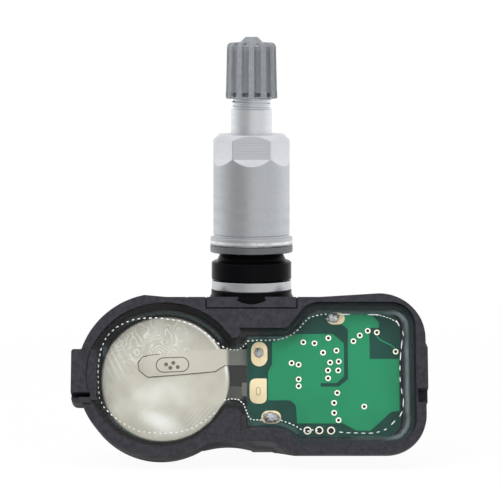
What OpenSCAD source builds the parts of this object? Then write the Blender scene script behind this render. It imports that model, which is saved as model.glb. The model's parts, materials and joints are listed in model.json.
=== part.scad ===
// Tyre pressure sensor of the clamp-in kind: a potted housing on an aluminium valve.
// The origin is on the valve axis, at the grommet's shoulder, which seats on the wheel rim.
// +Z runs along the valve to its cap, and the potted face looks towards -Y.
// Housing sizes are given in the rim plane's own frame: u to the right, v up, w out of the pockets.

/* [Valve stem] */
// Outside diameter of the stem's plain shaft
stem_d = 7.7; // [7.2:0.1:8.4]
// Height of the stem's mouth above the rim seat
stem_top = 39.4; // [37:0.2:44]
// Crest diameter of the thread for the cap
cap_thread_d = 7.35; // [6.9:0.05:7.6]
// Length of the thread for the cap
cap_thread_len = 10.8; // [9:0.2:11.5]
// Depth of the stem's lower end below the rim seat
stem_foot_depth = 11.6; // [10.5:0.1:12.2]
// Diameter of the flange at the stem's foot
foot_d = 10.6; // [9.2:0.2:11.4]
// Thickness of the flange at the stem's foot
foot_h = 1.8; // [1.2:0.1:2.4]
// Air passage through the stem
air_bore_d = 3.2; // [2.4:0.1:3.6]

/* [Rim seal] */
// Diameter of the grommet's neck, which fills the hole in the wheel rim
neck_d = 11.5; // [10.8:0.1:12]
// Diameter of the neck's root, where it flares to the shoulder
neck_root_d = 12.8; // [12:0.1:13.6]
// Height of the neck above the rim seat
neck_h = 1.55; // [1.2:0.05:2]
// Diameter of the grommet's shoulder
grommet_d = 15.1; // [14.2:0.1:16]
// Thickness of the grommet's shoulder
grommet_h = 3.75; // [3:0.05:4.4]
// Diameter of the plain ring under the grommet
ring_d = 15; // [14:0.1:16]
// Thickness of the plain ring under the grommet
ring_h = 1.75; // [1.2:0.05:2.2]

/* [Valve nut] */
// Diameter of the washer under the nut
washer_d = 15.6; // [14.6:0.1:16.6]
// Thickness of the washer under the nut
washer_h = 1.3; // [0.8:0.05:1.8]
// Diameter of the nut's flange
flange_d = 15.5; // [14.8:0.1:16.4]
// Thickness of the nut's flange
flange_h = 1.65; // [1:0.05:2.4]
// Outside diameter of the nut's barrel
nut_d = 14.4; // [13.6:0.1:15]
// Height of the whole nut
nut_h = 21; // [18:0.2:22]
// Width of the nut's hexagon across its flats
hex_af = 12.5; // [12:0.1:13]
// Height of the nut's hexagon
hex_h = 4.5; // [3.5:0.1:6]
// Height over which the flats run out into the barrel
hex_runout = 1.35; // [0.8:0.05:2]
// Chamfer around the nut's top
nut_chamfer = 0.7; // [0.3:0.05:1]
// Diameter of the countersink in the nut's top
nut_mouth_d = 10; // [9:0.1:11]
// Depth of the countersink in the nut's top
nut_mouth_h = 1.2; // [0.6:0.1:1.8]
// Length of the nut's threaded stretch
nut_thread_h = 11; // [8:0.5:14]

/* [Valve cap] */
// Diameter of the cap's lower rim
cap_base_d = 9.7; // [9.4:0.05:10.4]
// Diameter of the cap at its top shoulder
cap_top_d = 9.2; // [9:0.05:9.4]
// Height of the cap up to its shoulder
cap_h = 10.45; // [9.6:0.05:12]
// Height of the plain rim under the flutes
cap_rim_h = 1.1; // [0.6:0.05:1.8]
// Number of flutes around the cap
cap_flutes = 12; // [8:1:14]
// Diameter of the round cutter that makes a flute
flute_d = 1.5; // [1:0.05:1.8]
// Depth of a flute
flute_depth = 0.45; // [0.2:0.05:0.6]
// Height of the blunt cone on the cap
crown_h = 1.1; // [0.6:0.05:1.6]
// Diameter of the cone's base
crown_base_d = 4; // [3.2:0.1:5]
// Diameter of the cone's tip
crown_tip_d = 2.3; // [1.6:0.1:3]
// Thickness of the seal inside the cap
seal_h = 0.7; // [0.5:0.05:0.9]
// Diameter of the hole through the seal
seal_bore_d = 3.6; // [3:0.1:4.2]

/* [Valve core] */
// Bore that takes the valve core
core_bore_d = 5.3; // [5:0.05:5.5]
// Depth of that bore
core_bore_depth = 11.4; // [10.8:0.1:13]
// Depth of the core's top below the stem's mouth
core_drop = 0.6; // [0.4:0.05:1]
// Length of the core's barrel
core_len = 7.8; // [7.4:0.1:8.4]
// Length of the core's threaded head
core_head_len = 3; // [2:0.1:3.6]
// Diameter of the core's barrel below its head
core_barrel_d = 4.2; // [4:0.05:4.6]
// Diameter of the chamber that holds the core's spring
core_chamber_d = 3; // [2.8:0.05:3.3]
// Diameter of the core's pin
pin_d = 1.1; // [0.9:0.05:1.3]
// Diameter of the pin's collar and of its foot
pin_head_d = 2; // [1.8:0.05:2.4]
// Height of the pin's tip above the barrel
pin_rise = 0.45; // [0.3:0.05:0.7]
// Travel of the pin when it is pressed
pin_travel = 0.9; // [0.5:0.1:1]
// Diameter of the sealing cup under the barrel
cup_d = 3.9; // [3.6:0.05:4.2]
// Thickness of the sealing cup
cup_h = 1; // [0.8:0.05:1.2]
// Wire diameter of the core's spring
spring_wire_d = 0.34; // [0.26:0.02:0.36]
// Number of turns of the core's spring
spring_turns = 5; // [4:1:6]

/* [Housing] */
// Angle between the valve axis and the housing's rim plane
tilt = 20; // [14:1:26]
// Diameter of the boss that holds the stem
boss_d = 15.1; // [14.6:0.1:15.6]
// Depth below the rim seat at which the boss's front line dips under the rim plane
rim_drop = 7.3; // [6.8:0.1:7.8]
// Depth of the housing behind its rim plane
housing_depth = 12; // [11.8:0.1:13.5]
// Thickness of the floor under the cell and the board
floor_t = 1.85; // [1.4:0.05:2.2]
// Distance of the round pocket's centre to the left of the valve axis
round_x = 16.95; // [16.6:0.05:17.4]
// Distance of the round pocket's centre below the boss
round_v = 13.7; // [13.2:0.05:13.9]
// Room around the coin cell, which makes the round pocket that much wider
round_room = 2.7; // [2.3:0.1:3.1]
// Wall around the round pocket
round_wall = 1.9; // [1.6:0.05:2.6]
// How much wider than that pocket the arc of its upper side is, in radius
upper_room = 1.35; // [1:0.05:1.5]
// Draft of the wall around the round pocket
round_draft = 5; // [2:0.5:8]
// Right edge of the housing
box_right = 32.45; // [32:0.05:34]
// Top edge of the board's side of the housing
box_top = 1.8; // [1.4:0.1:2.4]
// Bottom edge of the board's side of the housing
box_bottom = 28.85; // [28.4:0.05:30]
// Radius of the housing's upper right corner
box_corner_top = 8.6; // [7:0.1:9.5]
// Radius of the housing's lower right corner
box_corner_bottom = 7.5; // [6:0.1:8.5]
// Wall around the board's pocket
box_wall = 1.85; // [1.5:0.05:2.2]
// Top edge of the waist between the two pockets
waist_top = 1.1; // [0.6:0.05:1.3]
// Bottom edge of the waist between the two pockets
waist_bottom = 26.35; // [26:0.05:27]
// Draft of the walls on the board's side
draft = 15; // [8:1:16]
// Height of the upright lip along the rim
lip_h = 1.6; // [1:0.1:2.4]
// Rounding of the housing's back edges
back_round = 2.6; // [1.6:0.1:3]
// Radius of the shallow scallop under the waist's rim
scallop_r = 12; // [9:0.5:16]
// Depth of that scallop
scallop_depth = 1; // [0.4:0.1:1.4]
// Lower edge of the solid land under the boss
land_bottom = 4.85; // [4.5:0.05:5.2]
// Width of the plate that a groove outlines in the land around the boss
plate_w = 16.7; // [15.8:0.1:17.4]
// Height of that plate below the land's upper edge
plate_h = 2; // [1.6:0.1:2.4]
// Width of that groove
groove_w = 0.28; // [0.15:0.01:0.35]
// Depth of that groove
groove_h = 0.5; // [0.2:0.05:0.8]
// Depth of the ledge around the board's pocket
ledge_depth = 3; // [2.4:0.1:3.2]
// Width of the seat under the board's edge
seat_w = 0.9; // [0.6:0.05:1.2]
// Diameter of the air hole from the stem's foot to the back
vent_d = 3; // [2:0.1:3.4]
// Diameter of the pressure port in the floor
port_d = 1.6; // [1:0.1:2]

/* [Lugs] */
// How far the left lug stands out from the round wall
lug_proud = 1.1; // [0.6:0.05:1.4]
// Upper edge of the left lug
lug_left_top = 9; // [8.4:0.1:9.6]
// Height of the left lug along the wall
lug_left_h = 8.2; // [7:0.1:9]
// Width of the slot under the left lug
lug_slot = 0.95; // [0.6:0.05:1.2]
// Height of the foot under that slot
lug_foot_h = 1.05; // [0.8:0.05:1.4]
// Depth of the slot under the left lug and of the notch under the right one
lug_cut_depth = 2.6; // [1.6:0.1:3]
// Depth of the left lug behind the rim plane
lug_depth = 4.5; // [3:0.1:6]
// Thickness of the flat inside the left wall
lug_pad = 1.7; // [1:0.05:2]
// Upper edge of the right lug
lug_right_top = 7.8; // [7:0.1:8.6]
// Height of the right lug along the wall
lug_right_h = 8.6; // [7:0.1:9.4]
// Height of both lugs above the rim plane
lug_rise = 0.4; // [0.2:0.05:0.8]
// Height of the notch under the right lug
lug_notch_h = 2.6; // [2:0.1:3.2]

/* [Coin cell] */
// Diameter of the coin cell
cell_d = 24.5; // [24:0.1:25]
// Thickness of the coin cell
cell_h = 5; // [4.6:0.05:5.05]
// Distance of the cell's centre to the left of the valve axis
cell_x = 16.3; // [16:0.05:16.8]
// Distance of the cell's centre below the boss
cell_v = 13.8; // [13.5:0.05:14]
// Thickness of the cell's welded strips
strip_t = 0.15; // [0.1:0.01:0.2]

/* [Circuit board] */
// Left edge of the board, left of the valve axis
board_left = 0.85; // [0.6:0.05:1.1]
// Right edge of the board
board_right = 27.9; // [27.4:0.1:28.4]
// Upper edge of the board
board_top = 0.95; // [0.8:0.05:1.3]
// Lower edge of the board
board_bottom = 25.05; // [24.6:0.05:25.4]
// Depth of the board's face behind the rim plane
board_depth = 3.6; // [3.4:0.05:3.8]
// Thickness of the board
board_t = 1; // [0.8:0.05:1.2]
// Thickness of the copper and its mask
copper_t = 0.05; // [0.03:0.01:0.08]
// Outside diameter of a via's ring
via_d = 0.96; // [0.8:0.02:1.1]
// Hole through a via
via_hole_d = 0.4; // [0.2:0.05:0.5]
// Depth of the gel's surface behind the rim plane
gel_depth = 2; // [1.6:0.1:2.4]

/* [Hidden] */
$fn = 64;

// Radial clearances: turning threads, rings around the stem, moulded seats and free pieces
thread_gap = 0.05;
ring_gap = 0.1;
seat_gap = 0.02;
free_gap = 0.3;
// How far a cutter runs past the face that it cuts
over = 1;

// Heights along the valve
washer_z = neck_h + seat_gap;
nut_z = washer_z + washer_h;
nut_top_z = nut_z + nut_h;
thread_z = stem_top - cap_thread_len;
seal_z = stem_top + seat_gap;
cap_roof_z = seal_z + seal_h;
cap_shoulder_z = cap_roof_z + 0.9;
cap_z = cap_shoulder_z - cap_h;
core_top_z = stem_top - core_drop;
core_z = core_top_z - core_len;
cup_z = core_z - seat_gap - cup_h;
chamber_z = core_z + 0.9;
chamber_top_z = core_top_z - 1.4;
collar_h = 0.5;
collar_z = chamber_top_z - seat_gap - collar_h;
ring_z = -grommet_h - ring_h;

// Depths in the housing's own frame
floor_w = floor_t - housing_depth;
board_w = -board_depth;
board_under_w = board_w - board_t;
cell_w = floor_w + strip_t;
cell_top_w = cell_w + cell_h;
strip_w = cell_top_w;
gel_w = -gel_depth;
copper_w = board_w + copper_t;
ring_top_w = copper_w + 0.07;

// Edges of the two pockets and of the neck between them
round_d = cell_d + round_room;
round_outer_r = round_d / 2 + round_wall;
lug_left = round_x + round_outer_r + lug_proud;
pocket_left = 2.15;
pocket_right = box_right - box_wall;
pocket_top = box_top - 1.65;
pocket_bottom = box_bottom - box_wall;
neck_top = 6.8;
neck_bottom = 20.2;
neck_right = 0.5;
neck_corner = 0.7;
// Centre of the upper side's arc to the right of the round pocket's centre and above it
upper_shift = [0.75, -1.2];
// Centre of the scallop to the left of the valve axis
scallop_x = 4.4;
// Where the round wall's top edge starts to slope down to the waist, and where it meets it
crest_x = 20.2;
crest_v = 1.5;
crest_end_x = 16;
lug_right_proud = 0.35;

// Vias on the board, as distances to the right of the valve axis and below the boss
vias = [
    [9.7, 6.9], [11.8, 7.1], [14.4, 6.1], [13.4, 8.9], [15.9, 8.5], [14.7, 10.8],
    [16.3, 10.6], [14.3, 12.3], [16.2, 12.3], [14.3, 13.8], [7.5, 10.9], [8.8, 11.2],
    [8.8, 14], [8.8, 15.3], [16, 16.6], [15.4, 18.5], [15.4, 20.4], [16.2, 21.8],
    [19.1, 6.7], [20.3, 5.6], [21.8, 4.7], [23.5, 5], [27, 8.7], [21, 19.2]
];
// Round test pads along the board's lower edge
test_pads = [[10.4, 23.8], [12.6, 23.75], [14.8, 23.8]];
// Places where the two strips and the two ends of the antenna are soldered
positive_pin = [1.35, 8.9];
negative_pin = [1.3, 16];
antenna_a = [3.75, 21.3];
antenna_b = [15.25, 2.35];
// Places of the pieces under the board
sensor_at = [18, 14];
controller_at = [19.6, 5.8];
coil_at = [24.2, 20.2];
crystal_at = [11.6, 21.6];
capacitor_at = [24.9, 4.6];
capacitor_count = 6;
capacitor_step = 1.9;

// Strip on the cell, as distances to the right of the cell's centre and above it
strip_upper = [[-4.6, 4.6], [4.8, 5.4], [10.4, 5.85]];
strip_lower = [[11.5, 2.7], [10.8, 2.3], [9.5, 1.5], [4.8, 1.05], [-3.1, 0.4], [-4.8, 1.55]];
// Long oval around the strip's welds, and the welds around its middle
weld_at = [1.5, 2.8];
weld_w = 6.1;
weld_h = 2.7;
weld_d = 0.48;
welds = [[-1.2, -0.2], [0.1, 0.2], [-0.4, -0.8], [1, -0.6]];
negative_strip_w = 2.65;
// Copper under its mask, as places to the right of the valve axis and above the boss
pour_outline = [
    [3.85, -6.9], [3.85, -11.1], [3.1, -12.6], [3.1, -18], [7.25, -18], [8.25, -18.95],
    [8.5, -22.4], [17, -22.4], [19.6, -23.8], [22.1, -23.8], [26, -20.2], [27.6, -20],
    [27.6, -10.1], [22.1, -10.1], [22.1, -4.1], [23.9, -4.1], [23.9, -3.05], [22.5, -1.5],
    [17.2, -1.5], [16.8, -3.25], [18.05, -4.4], [18.05, -13.95], [16.3, -15.4],
    [12.9, -15.4], [12.9, -14.7], [15.9, -14.7], [17.3, -13.4], [17.3, -7.1],
    [15.3, -5.3], [8, -5.3], [5.5, -5.9]
];

sensor_size = 6.6;
sensor_h = 2.2;
sensor_lid = 5.4;
sensor_lid_h = 0.8;
seal_top_w = board_under_w - sensor_h;
controller_size = 4.8;
controller_h = 1;
coil_len = 7.2;
coil_w = 2.8;
coil_h = 2.6;
coil_flange = 1.2;
coil_bar_margin = 0.7;
coil_wire_margin = 0.2;
crystal_size = [3.2, 2.5, 0.8];
crystal_step = 0.15;
capacitor_size = [1.2, 0.7, 0.6];
antenna_w = 0.9;
antenna_t = 0.6;
antenna_floor_gap = 0.9;
port_seal_d = 4.6;
pin_slot = 0.7;

function arc(c, r, from, to, steps = 8) =
    [for (i = [0:steps]) c + r * [cos(from + (to - from) * i / steps), sin(from + (to - from) * i / steps)]];

// Wall of a moulded block at an edge, from its back up to its rim: rounded, drafted, upright
function wall_section(edge, slope) =
    let (run = housing_depth - back_round - lip_h)
    concat(
        arc([edge - run * tan(slope) - back_round, back_round - housing_depth], back_round, 270, 360, 5),
        [[edge, -lip_h], [edge, 0]]
    );

// Section of a moulded block between two edges
function block_section(a, b, slope_a, slope_b) =
    let (left = [for (p = wall_section(-a, slope_a)) [-p[0], p[1]]])
    concat(wall_section(b, slope_b), [for (i = [len(left) - 1:-1:0]) left[i]]);

// Outline of the board, grown by a margin
function board_points(grow) = [
    [-board_left - grow, -board_bottom + 1.9 - grow],
    [6.2 - 0.4 * grow, -board_bottom + 1.9 - grow],
    [9 - 0.4 * grow, -board_bottom - grow],
    for (p = arc([board_right - 3.2, -board_bottom + 3.2], 3.2 + grow, 270, 360)) p,
    for (p = arc([board_right - 3.2, -board_top - 3.2], 3.2 + grow, 0, 90)) p,
    [12.6 - 0.4 * grow, -board_top + grow],
    [10 - 0.7 * grow, -board_top - 1.15 + 0.7 * grow],
    [7.2 - 0.5 * grow, -board_top - 4.5 + grow],
    [-board_left - grow, -board_top - 4.9 + grow]
];

// Places something in the housing's own frame
module in_housing() {
    translate([0, -boss_d / 2, -rim_drop]) rotate([90 - tilt, 0, 0]) children();
}

// Places something at a distance to the right of the valve axis and below the boss
module at_place(place, w = 0) {
    translate([place[0], -place[1], w]) children();
}

module prism(w0, w1) {
    translate([0, 0, w0]) linear_extrude(w1 - w0) children();
}

// Extrudes an outline of v and w along u
module along_u() {
    rotate([90, 0, 90]) linear_extrude(120, center = true) children();
}

// Extrudes an outline of u and w along v
module along_v() {
    rotate([90, 0, 0]) linear_extrude(120, center = true) children();
}

// Outline of the board's pocket at the rim
module board_pocket_shape() {
    corner_top = 4.5;
    corner_bottom = 4.8;
    polygon(concat(
        [[-pocket_left, -waist_bottom + 2.1], [-pocket_left, -land_bottom]],
        [[6.3, -land_bottom], [7.2, -land_bottom + 0.7], [10, -pocket_top - 0.6]],
        [[11, pocket_top - 0.3], [12.3, pocket_top]],
        arc([pocket_right - corner_top, pocket_top - corner_top], corner_top, 90, 0),
        arc([pocket_right - corner_bottom, corner_bottom - pocket_bottom], corner_bottom, 0, -90),
        [[9, -pocket_bottom], [7.5, 1.4 - pocket_bottom], [6.2, 2.3 - pocket_bottom]],
        [[3.4, 3 - pocket_bottom], [-1.2, 2.6 - pocket_bottom]]
    ));
}

// Outline of the round pocket, with its wider upper side and the flat at the left lug
module round_pocket_shape() {
    difference() {
        union() {
            translate([-round_x, -round_v]) circle(d = round_d, $fn = 96);
            intersection() {
                translate([upper_shift[0] - round_x, upper_shift[1] - round_v])
                    circle(r = round_d / 2 + upper_room, $fn = 96);
                translate([-2 * round_x, 1.5 - round_v]) square([2 * round_x, round_d]);
            }
        }
        translate([-round_x - round_d / 2 - over, -lug_left_top - lug_left_h - lug_slot - 0.5])
            square([lug_pad + over, lug_left_h + lug_slot + 0.5]);
    }
}

// Outline of the neck between the pockets, with the corners of its two walls cut
module neck_shape() {
    corner_x = -pocket_left - neck_corner;
    polygon([
        [-round_x, -neck_bottom], [corner_x, -neck_bottom], [-pocket_left, -neck_bottom - neck_corner],
        [neck_right, -neck_bottom - neck_corner], [neck_right, neck_corner - neck_top],
        [-pocket_left, neck_corner - neck_top], [corner_x, -neck_top], [-round_x, -neck_top]
    ]);
}

// The whole hollow of the housing, up to a given depth
module cavity(top_w) {
    prism(floor_w, top_w) round_pocket_shape();
    prism(floor_w, top_w) neck_shape();
    prism(-ledge_depth, top_w) board_pocket_shape();
    prism(board_under_w, -ledge_depth) polygon(board_points(free_gap));
    prism(floor_w, board_under_w) polygon(board_points(-seat_w));
}

// Cup around the cell
module round_block() {
    far = round_x + round_outer_r + over;
    intersection() {
        translate([-round_x, -round_v, 0]) rotate_extrude($fn = 96)
            polygon(concat([[0, 0], [0, -housing_depth]], wall_section(round_outer_r, round_draft)));
        prism(-housing_depth, 0) polygon([
            [-far, -far], [far, -far], [far, waist_top], [-crest_end_x, waist_top],
            [-crest_x, crest_v], [-far, crest_v]
        ]);
    }
}

// What a round corner of radius r takes off a block, outwards and up or down from its centre
module corner_cut(centre, r, up) {
    wall = wall_section(r, draft);
    far = housing_depth + over;
    translate(centre) difference() {
        translate([0, up ? 0 : -2 * r, -far]) cube([2 * r, 2 * r, far + over]);
        rotate_extrude($fn = 96)
            polygon(concat([[0, 2 * over], [0, -far - over], [wall[0][0], -far - over]], wall, [[r, 2 * over]]));
    }
}

// Block on the board's side
module box_block() {
    difference() {
        intersection() {
            prism(-housing_depth, 0) polygon([
                [0, -waist_bottom], [3.9, -waist_bottom], [7.9, -box_bottom], [box_right, -box_bottom],
                [box_right, box_top], [box_right - box_corner_top, box_top], [12.8, waist_top], [0, waist_top]
            ]);
            along_v() polygon(block_section(-box_right, box_right, 0, draft));
            along_u() polygon(block_section(-box_bottom, box_top, draft, draft));
        }
        corner_cut([box_right - box_corner_top, box_top - box_corner_top], box_corner_top, true);
        corner_cut([box_right - box_corner_bottom, box_corner_bottom - box_bottom], box_corner_bottom, false);
    }
}

// Block between the two pockets
module waist_block() {
    intersection() {
        prism(-housing_depth, 0) translate([-12, -waist_bottom]) square([20, waist_bottom + waist_top]);
        along_u() polygon(block_section(-waist_bottom, waist_top, 0, 0));
    }
}

// Boss around the stem's foot, with a tapered end behind the land
module boss() {
    taper_z = -rim_drop - 0.4;
    end_z = -stem_foot_depth - 1.6;
    rotate_extrude($fn = 96) polygon([
        [0, ring_z], [boss_d / 2, ring_z], [boss_d / 2, taper_z],
        [boss_d / 2 - 1.2, end_z + 1.2], [boss_d / 2 - 2.6, end_z], [0, end_z]
    ]);
}

// Lug on the round wall, which ends at the pocket in a curve and goes on under its slot as a foot
module left_lug() {
    foot_bottom = lug_left_top + lug_left_h + lug_slot + lug_foot_h;
    inner = -round_x - round_d / 2 + 1;
    difference() {
        prism(-lug_depth, lug_rise) polygon(concat(
            [[inner, -foot_bottom]],
            arc([1.3 - lug_left, 1.3 - foot_bottom], 1.3, 270, 180, 4),
            arc([0.5 - lug_left, -lug_left_top - 0.5], 0.5, 180, 90, 4),
            [[inner, -lug_left_top]]
        ));
        translate([-round_x, -round_v, -lug_depth - over])
            cylinder(h = lug_depth + lug_rise + 2 * over, r = round_d / 2 + 0.3);
    }
}

// Slot under the left lug, with the foot below it set back to the rim
module left_slot() {
    slot_bottom = lug_left_top + lug_left_h + lug_slot;
    reach = lug_left - round_x - round_d / 2 + 0.6;
    translate([-lug_left - over, -slot_bottom, -lug_cut_depth])
        cube([reach + over, lug_slot, lug_cut_depth + over]);
    translate([-lug_left - over, -slot_bottom - 2 * lug_foot_h, -0.3])
        cube([lug_proud + 0.4 + over, 2 * lug_foot_h + 0.01, 0.3 + over]);
}

// Shallow hollow in the wall under the waist's rim
module scallop() {
    translate([-scallop_x, scallop_depth - waist_bottom - scallop_r, -housing_depth - over])
        cylinder(h = housing_depth + over - lip_h, r = scallop_r);
}

// Lug on the right wall, with a block behind the notch under it
module right_lug() {
    left = box_right - box_wall;
    right = box_right + lug_right_proud;
    lug_bottom = lug_right_top + lug_right_h;
    prism(-lip_h, lug_rise) polygon([
        [left, -lug_right_top + 0.3], [box_right - 0.1, -lug_right_top + 0.2], [right, -lug_right_top - 0.9],
        [right, -lug_bottom], [left, -lug_bottom]
    ]);
    prism(-lug_cut_depth - 1.2, -lip_h) polygon([
        [left, -lug_right_top], [box_right - 0.1, -lug_right_top], [right, -lug_right_top - 0.9],
        [right, 0.5 - lug_bottom - lug_notch_h], [right - 0.5, -lug_bottom - lug_notch_h],
        [left, -lug_bottom - lug_notch_h]
    ]);
}

module right_notch() {
    translate([box_right - box_wall + 0.3, -lug_right_top - lug_right_h - lug_notch_h, -lug_cut_depth])
        cube([box_wall + over, lug_notch_h, lug_cut_depth + over]);
}

// Groove around the plate in the land, where the boss comes through it
module land_groove() {
    translate([0, waist_top, -groove_h]) linear_extrude(groove_h + over) difference() {
        translate([-plate_w / 2 - groove_w, -plate_h - groove_w])
            square([plate_w + 2 * groove_w, plate_h + groove_w + over]);
        translate([-plate_w / 2, -plate_h]) square([plate_w, plate_h + 2 * over]);
    }
}

// The stem's foot and shaft with a margin, as the moulding closes around them
module stem_socket() {
    translate([0, 0, -stem_foot_depth])
        cylinder(h = stem_foot_depth, d = stem_d + 2 * seat_gap);
    translate([0, 0, -stem_foot_depth])
        cylinder(h = foot_h + seat_gap, d = foot_d + 2 * seat_gap);
}

// Air way from the stem's foot to the housing's back
module vent() {
    translate([0, 0, -stem_foot_depth]) rotate([90 - tilt, 0, 0])
        translate([0, 0, -housing_depth]) cylinder(h = housing_depth, d = vent_d);
}

module housing() {
    color("#2b2a2e") difference() {
        union() {
            in_housing() difference() {
                union() {
                    round_block();
                    box_block();
                    waist_block();
                    left_lug();
                    right_lug();
                }
                land_groove();
                scallop();
            }
            boss();
        }
        in_housing() {
            cavity(over);
            left_slot();
            right_notch();
            at_place(sensor_at, -housing_depth - over) cylinder(h = floor_t + 2 * over, d = port_d);
        }
        stem_socket();
        vent();
    }
}

// Clear gel that fills the hollow around everything in it
module potting_gel() {
    color("#e8efe6", 0.4) in_housing() difference() {
        cavity(gel_w);
        cell_shape();
        positive_strip_shape();
        negative_strip_shape();
        prism(board_under_w - seat_gap, copper_w) polygon(board_points(seat_gap));
        for (via = vias) at_place(via, board_w) cylinder(h = ring_top_w - board_w, d = via_d);
        prism(board_w, ring_top_w) pad_outlines(0);
        joint_domes();
        sensor_shape();
        at_place(sensor_at, floor_w) cylinder(h = seal_top_w - floor_w, d = port_seal_d);
        controller_shape();
        coil_envelope();
        crystal_shape();
        capacitor_shapes();
        antenna_shape();
    }
}

// Cell with its can upwards and its smaller cap downwards
module cell_shape() {
    can_r = cell_d / 2;
    at_place([-cell_x, cell_v], cell_w) rotate_extrude($fn = 96) polygon(concat(
        [[0, 0], [can_r - 1.9, 0], [can_r - 1.7, 0.15], [can_r - 1.6, 0.5], [can_r - 1, 0.5]],
        [[can_r - 0.6, 0.35], [can_r - 0.15, 0.6], [can_r, 1.1]],
        arc([can_r - 0.6, cell_h - 0.6], 0.6, 0, 90, 4),
        [[can_r - 1, cell_h], [can_r - 1.1, cell_h - 0.08], [can_r - 1.4, cell_h - 0.08]],
        [[can_r - 1.5, cell_h], [0, cell_h]]
    ));
}

module coin_cell() {
    color("#c8c6b9") in_housing() cell_shape();
}

// Welded strip on the cell's can, with a pin that comes up through the board
module positive_strip_shape() {
    end_x = positive_pin[0] + pin_slot / 2;
    difference() {
        translate([-cell_x, -cell_v]) prism(strip_w, strip_w + strip_t) polygon(concat(
            strip_upper,
            [[end_x + cell_x, strip_upper[2][1]], [end_x + cell_x, strip_lower[0][1]]],
            strip_lower
        ));
        weld_window(strip_w + strip_t / 2);
    }
    translate([weld_at[0] - cell_x, weld_at[1] - cell_v, strip_w]) for (weld = welds)
        translate(weld) cylinder(h = strip_t * 0.8, d = weld_d);
    strip_pin(positive_pin, strip_w);
}

// Long oval that is pressed into the strip around its welds
module weld_window(w) {
    translate([weld_at[0] - cell_x, weld_at[1] - cell_v, w]) rotate([0, 0, 2]) linear_extrude(over)
        stadium(weld_w, weld_h);
}

module strip_pin(place, from_w) {
    at_place(place, from_w) translate([-pin_slot / 2, -pin_slot / 2, 0])
        cube([pin_slot, pin_slot, ring_top_w + 0.25 - from_w]);
}

module positive_strip() {
    color("#d4d0c0") in_housing() positive_strip_shape();
}

// Strip from under the cell, up past its side and out under the board
module negative_strip_shape() {
    rise_x = -board_left - 0.8;
    wide = negative_strip_w;
    low = negative_pin[1] + 0.4 * wide;
    end_x = negative_pin[0] + pin_slot / 2;
    translate([-cell_x - 2, -low, floor_w]) cube([cell_x + 2 + rise_x, wide, strip_t]);
    translate([rise_x - strip_t, -low, floor_w]) cube([strip_t, wide, strip_w + strip_t - floor_w]);
    translate([rise_x - strip_t, -low, strip_w]) cube([end_x - rise_x + strip_t, wide, strip_t]);
    strip_pin(negative_pin, strip_w);
}

module negative_strip() {
    color("#d4d0c0") in_housing() negative_strip_shape();
}

// Slots and holes through the board, with a margin around what passes through them
module board_holes() {
    for (via = vias) at_place(via) circle(d = via_hole_d);
    for (pad = test_pads) at_place(pad) circle(d = via_hole_d);
    for (pin = [positive_pin, negative_pin])
        at_place(pin) square(pin_slot + 4 * seat_gap, center = true);
    for (end = [antenna_a, antenna_b])
        at_place(end) square(antenna_w + 4 * seat_gap, center = true);
}

module circuit_board() {
    color("#1c5f50") in_housing() prism(board_under_w, board_w) difference() {
        polygon(board_points(0));
        board_holes();
    }
}

// Outlines of the bare pads, grown by a margin
module pad_outlines(grow) {
    at_place([1.45, 9.1]) stadium(3 + 2 * grow, 4.7 + 2 * grow);
    at_place([1.2, 16.2]) stadium(3.1 + 2 * grow, 4.8 + 2 * grow);
    at_place(antenna_a) stadium(3.7 + 2 * grow, 2.7 + 2 * grow);
    at_place(antenna_b + [0.6, -0.1]) circle(d = 2.5 + 2 * grow);
    for (pad = test_pads) at_place(pad) circle(d = 1.5 + 2 * grow);
}

// Rectangle with half round ends, as wide and as high as given
module stadium(width, height) {
    short = min(width, height);
    reach = [width - short, height - short] / 2;
    for (side = [-1, 1]) translate(side * reach) circle(d = short);
    square([max(2 * reach[0], short * (width > height ? 0 : 1)), max(2 * reach[1], short * (width > height ? 1 : 0))],
        center = true);
}

module copper_pour() {
    color("#329669") in_housing() prism(board_w, copper_w) difference() {
        polygon(pour_outline);
        for (via = vias) at_place(via) circle(d = via_d);
        pad_outlines(0.15);
        at_place(antenna_b) square(antenna_w + 4 * seat_gap, center = true);
    }
}

module via_rings() {
    color("#e8dcc0") in_housing() prism(board_w, ring_top_w) for (via = vias) at_place(via) difference() {
        circle(d = via_d);
        circle(d = via_hole_d);
    }
}

module solder_pads() {
    color("#dcc79a") in_housing() prism(board_w, ring_top_w) difference() {
        pad_outlines(0);
        board_holes();
    }
}

// Low round heap of solder around whatever comes up through the board
module dome(place, radius, height) {
    ball = (radius * radius + height * height) / (2 * height);
    at_place(place, ring_top_w) intersection() {
        translate([0, 0, height - ball]) sphere(r = ball, $fn = 48);
        translate([-radius, -radius, 0]) cube([2 * radius, 2 * radius, height]);
    }
}

module joint_domes() {
    dome(positive_pin, 0.85, 0.55);
    dome(negative_pin, 0.75, 0.5);
    dome(antenna_a, 1.3, 0.8);
    dome(antenna_b, 1.15, 0.8);
}

module solder_joints() {
    color("#cfcfc8") in_housing() difference() {
        joint_domes();
        strip_pin(positive_pin, strip_w);
        strip_pin(negative_pin, strip_w);
        antenna_shape();
    }
}

// Package under the board, with a lid and a hole for the pressure
module sensor_shape() {
    at_place(sensor_at, board_under_w - sensor_h) {
        translate([-sensor_lid / 2, -sensor_lid / 2, 0]) cube([sensor_lid, sensor_lid, sensor_h]);
        translate([-sensor_size / 2, -sensor_size / 2, sensor_lid_h])
            cube([sensor_size, sensor_size, sensor_h - sensor_lid_h]);
    }
}

module pressure_chip() {
    color("#3a3a3c") in_housing() difference() {
        sensor_shape();
        at_place(sensor_at, seal_top_w - over) cylinder(h = over + 1.2, d = port_d);
    }
}

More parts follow.
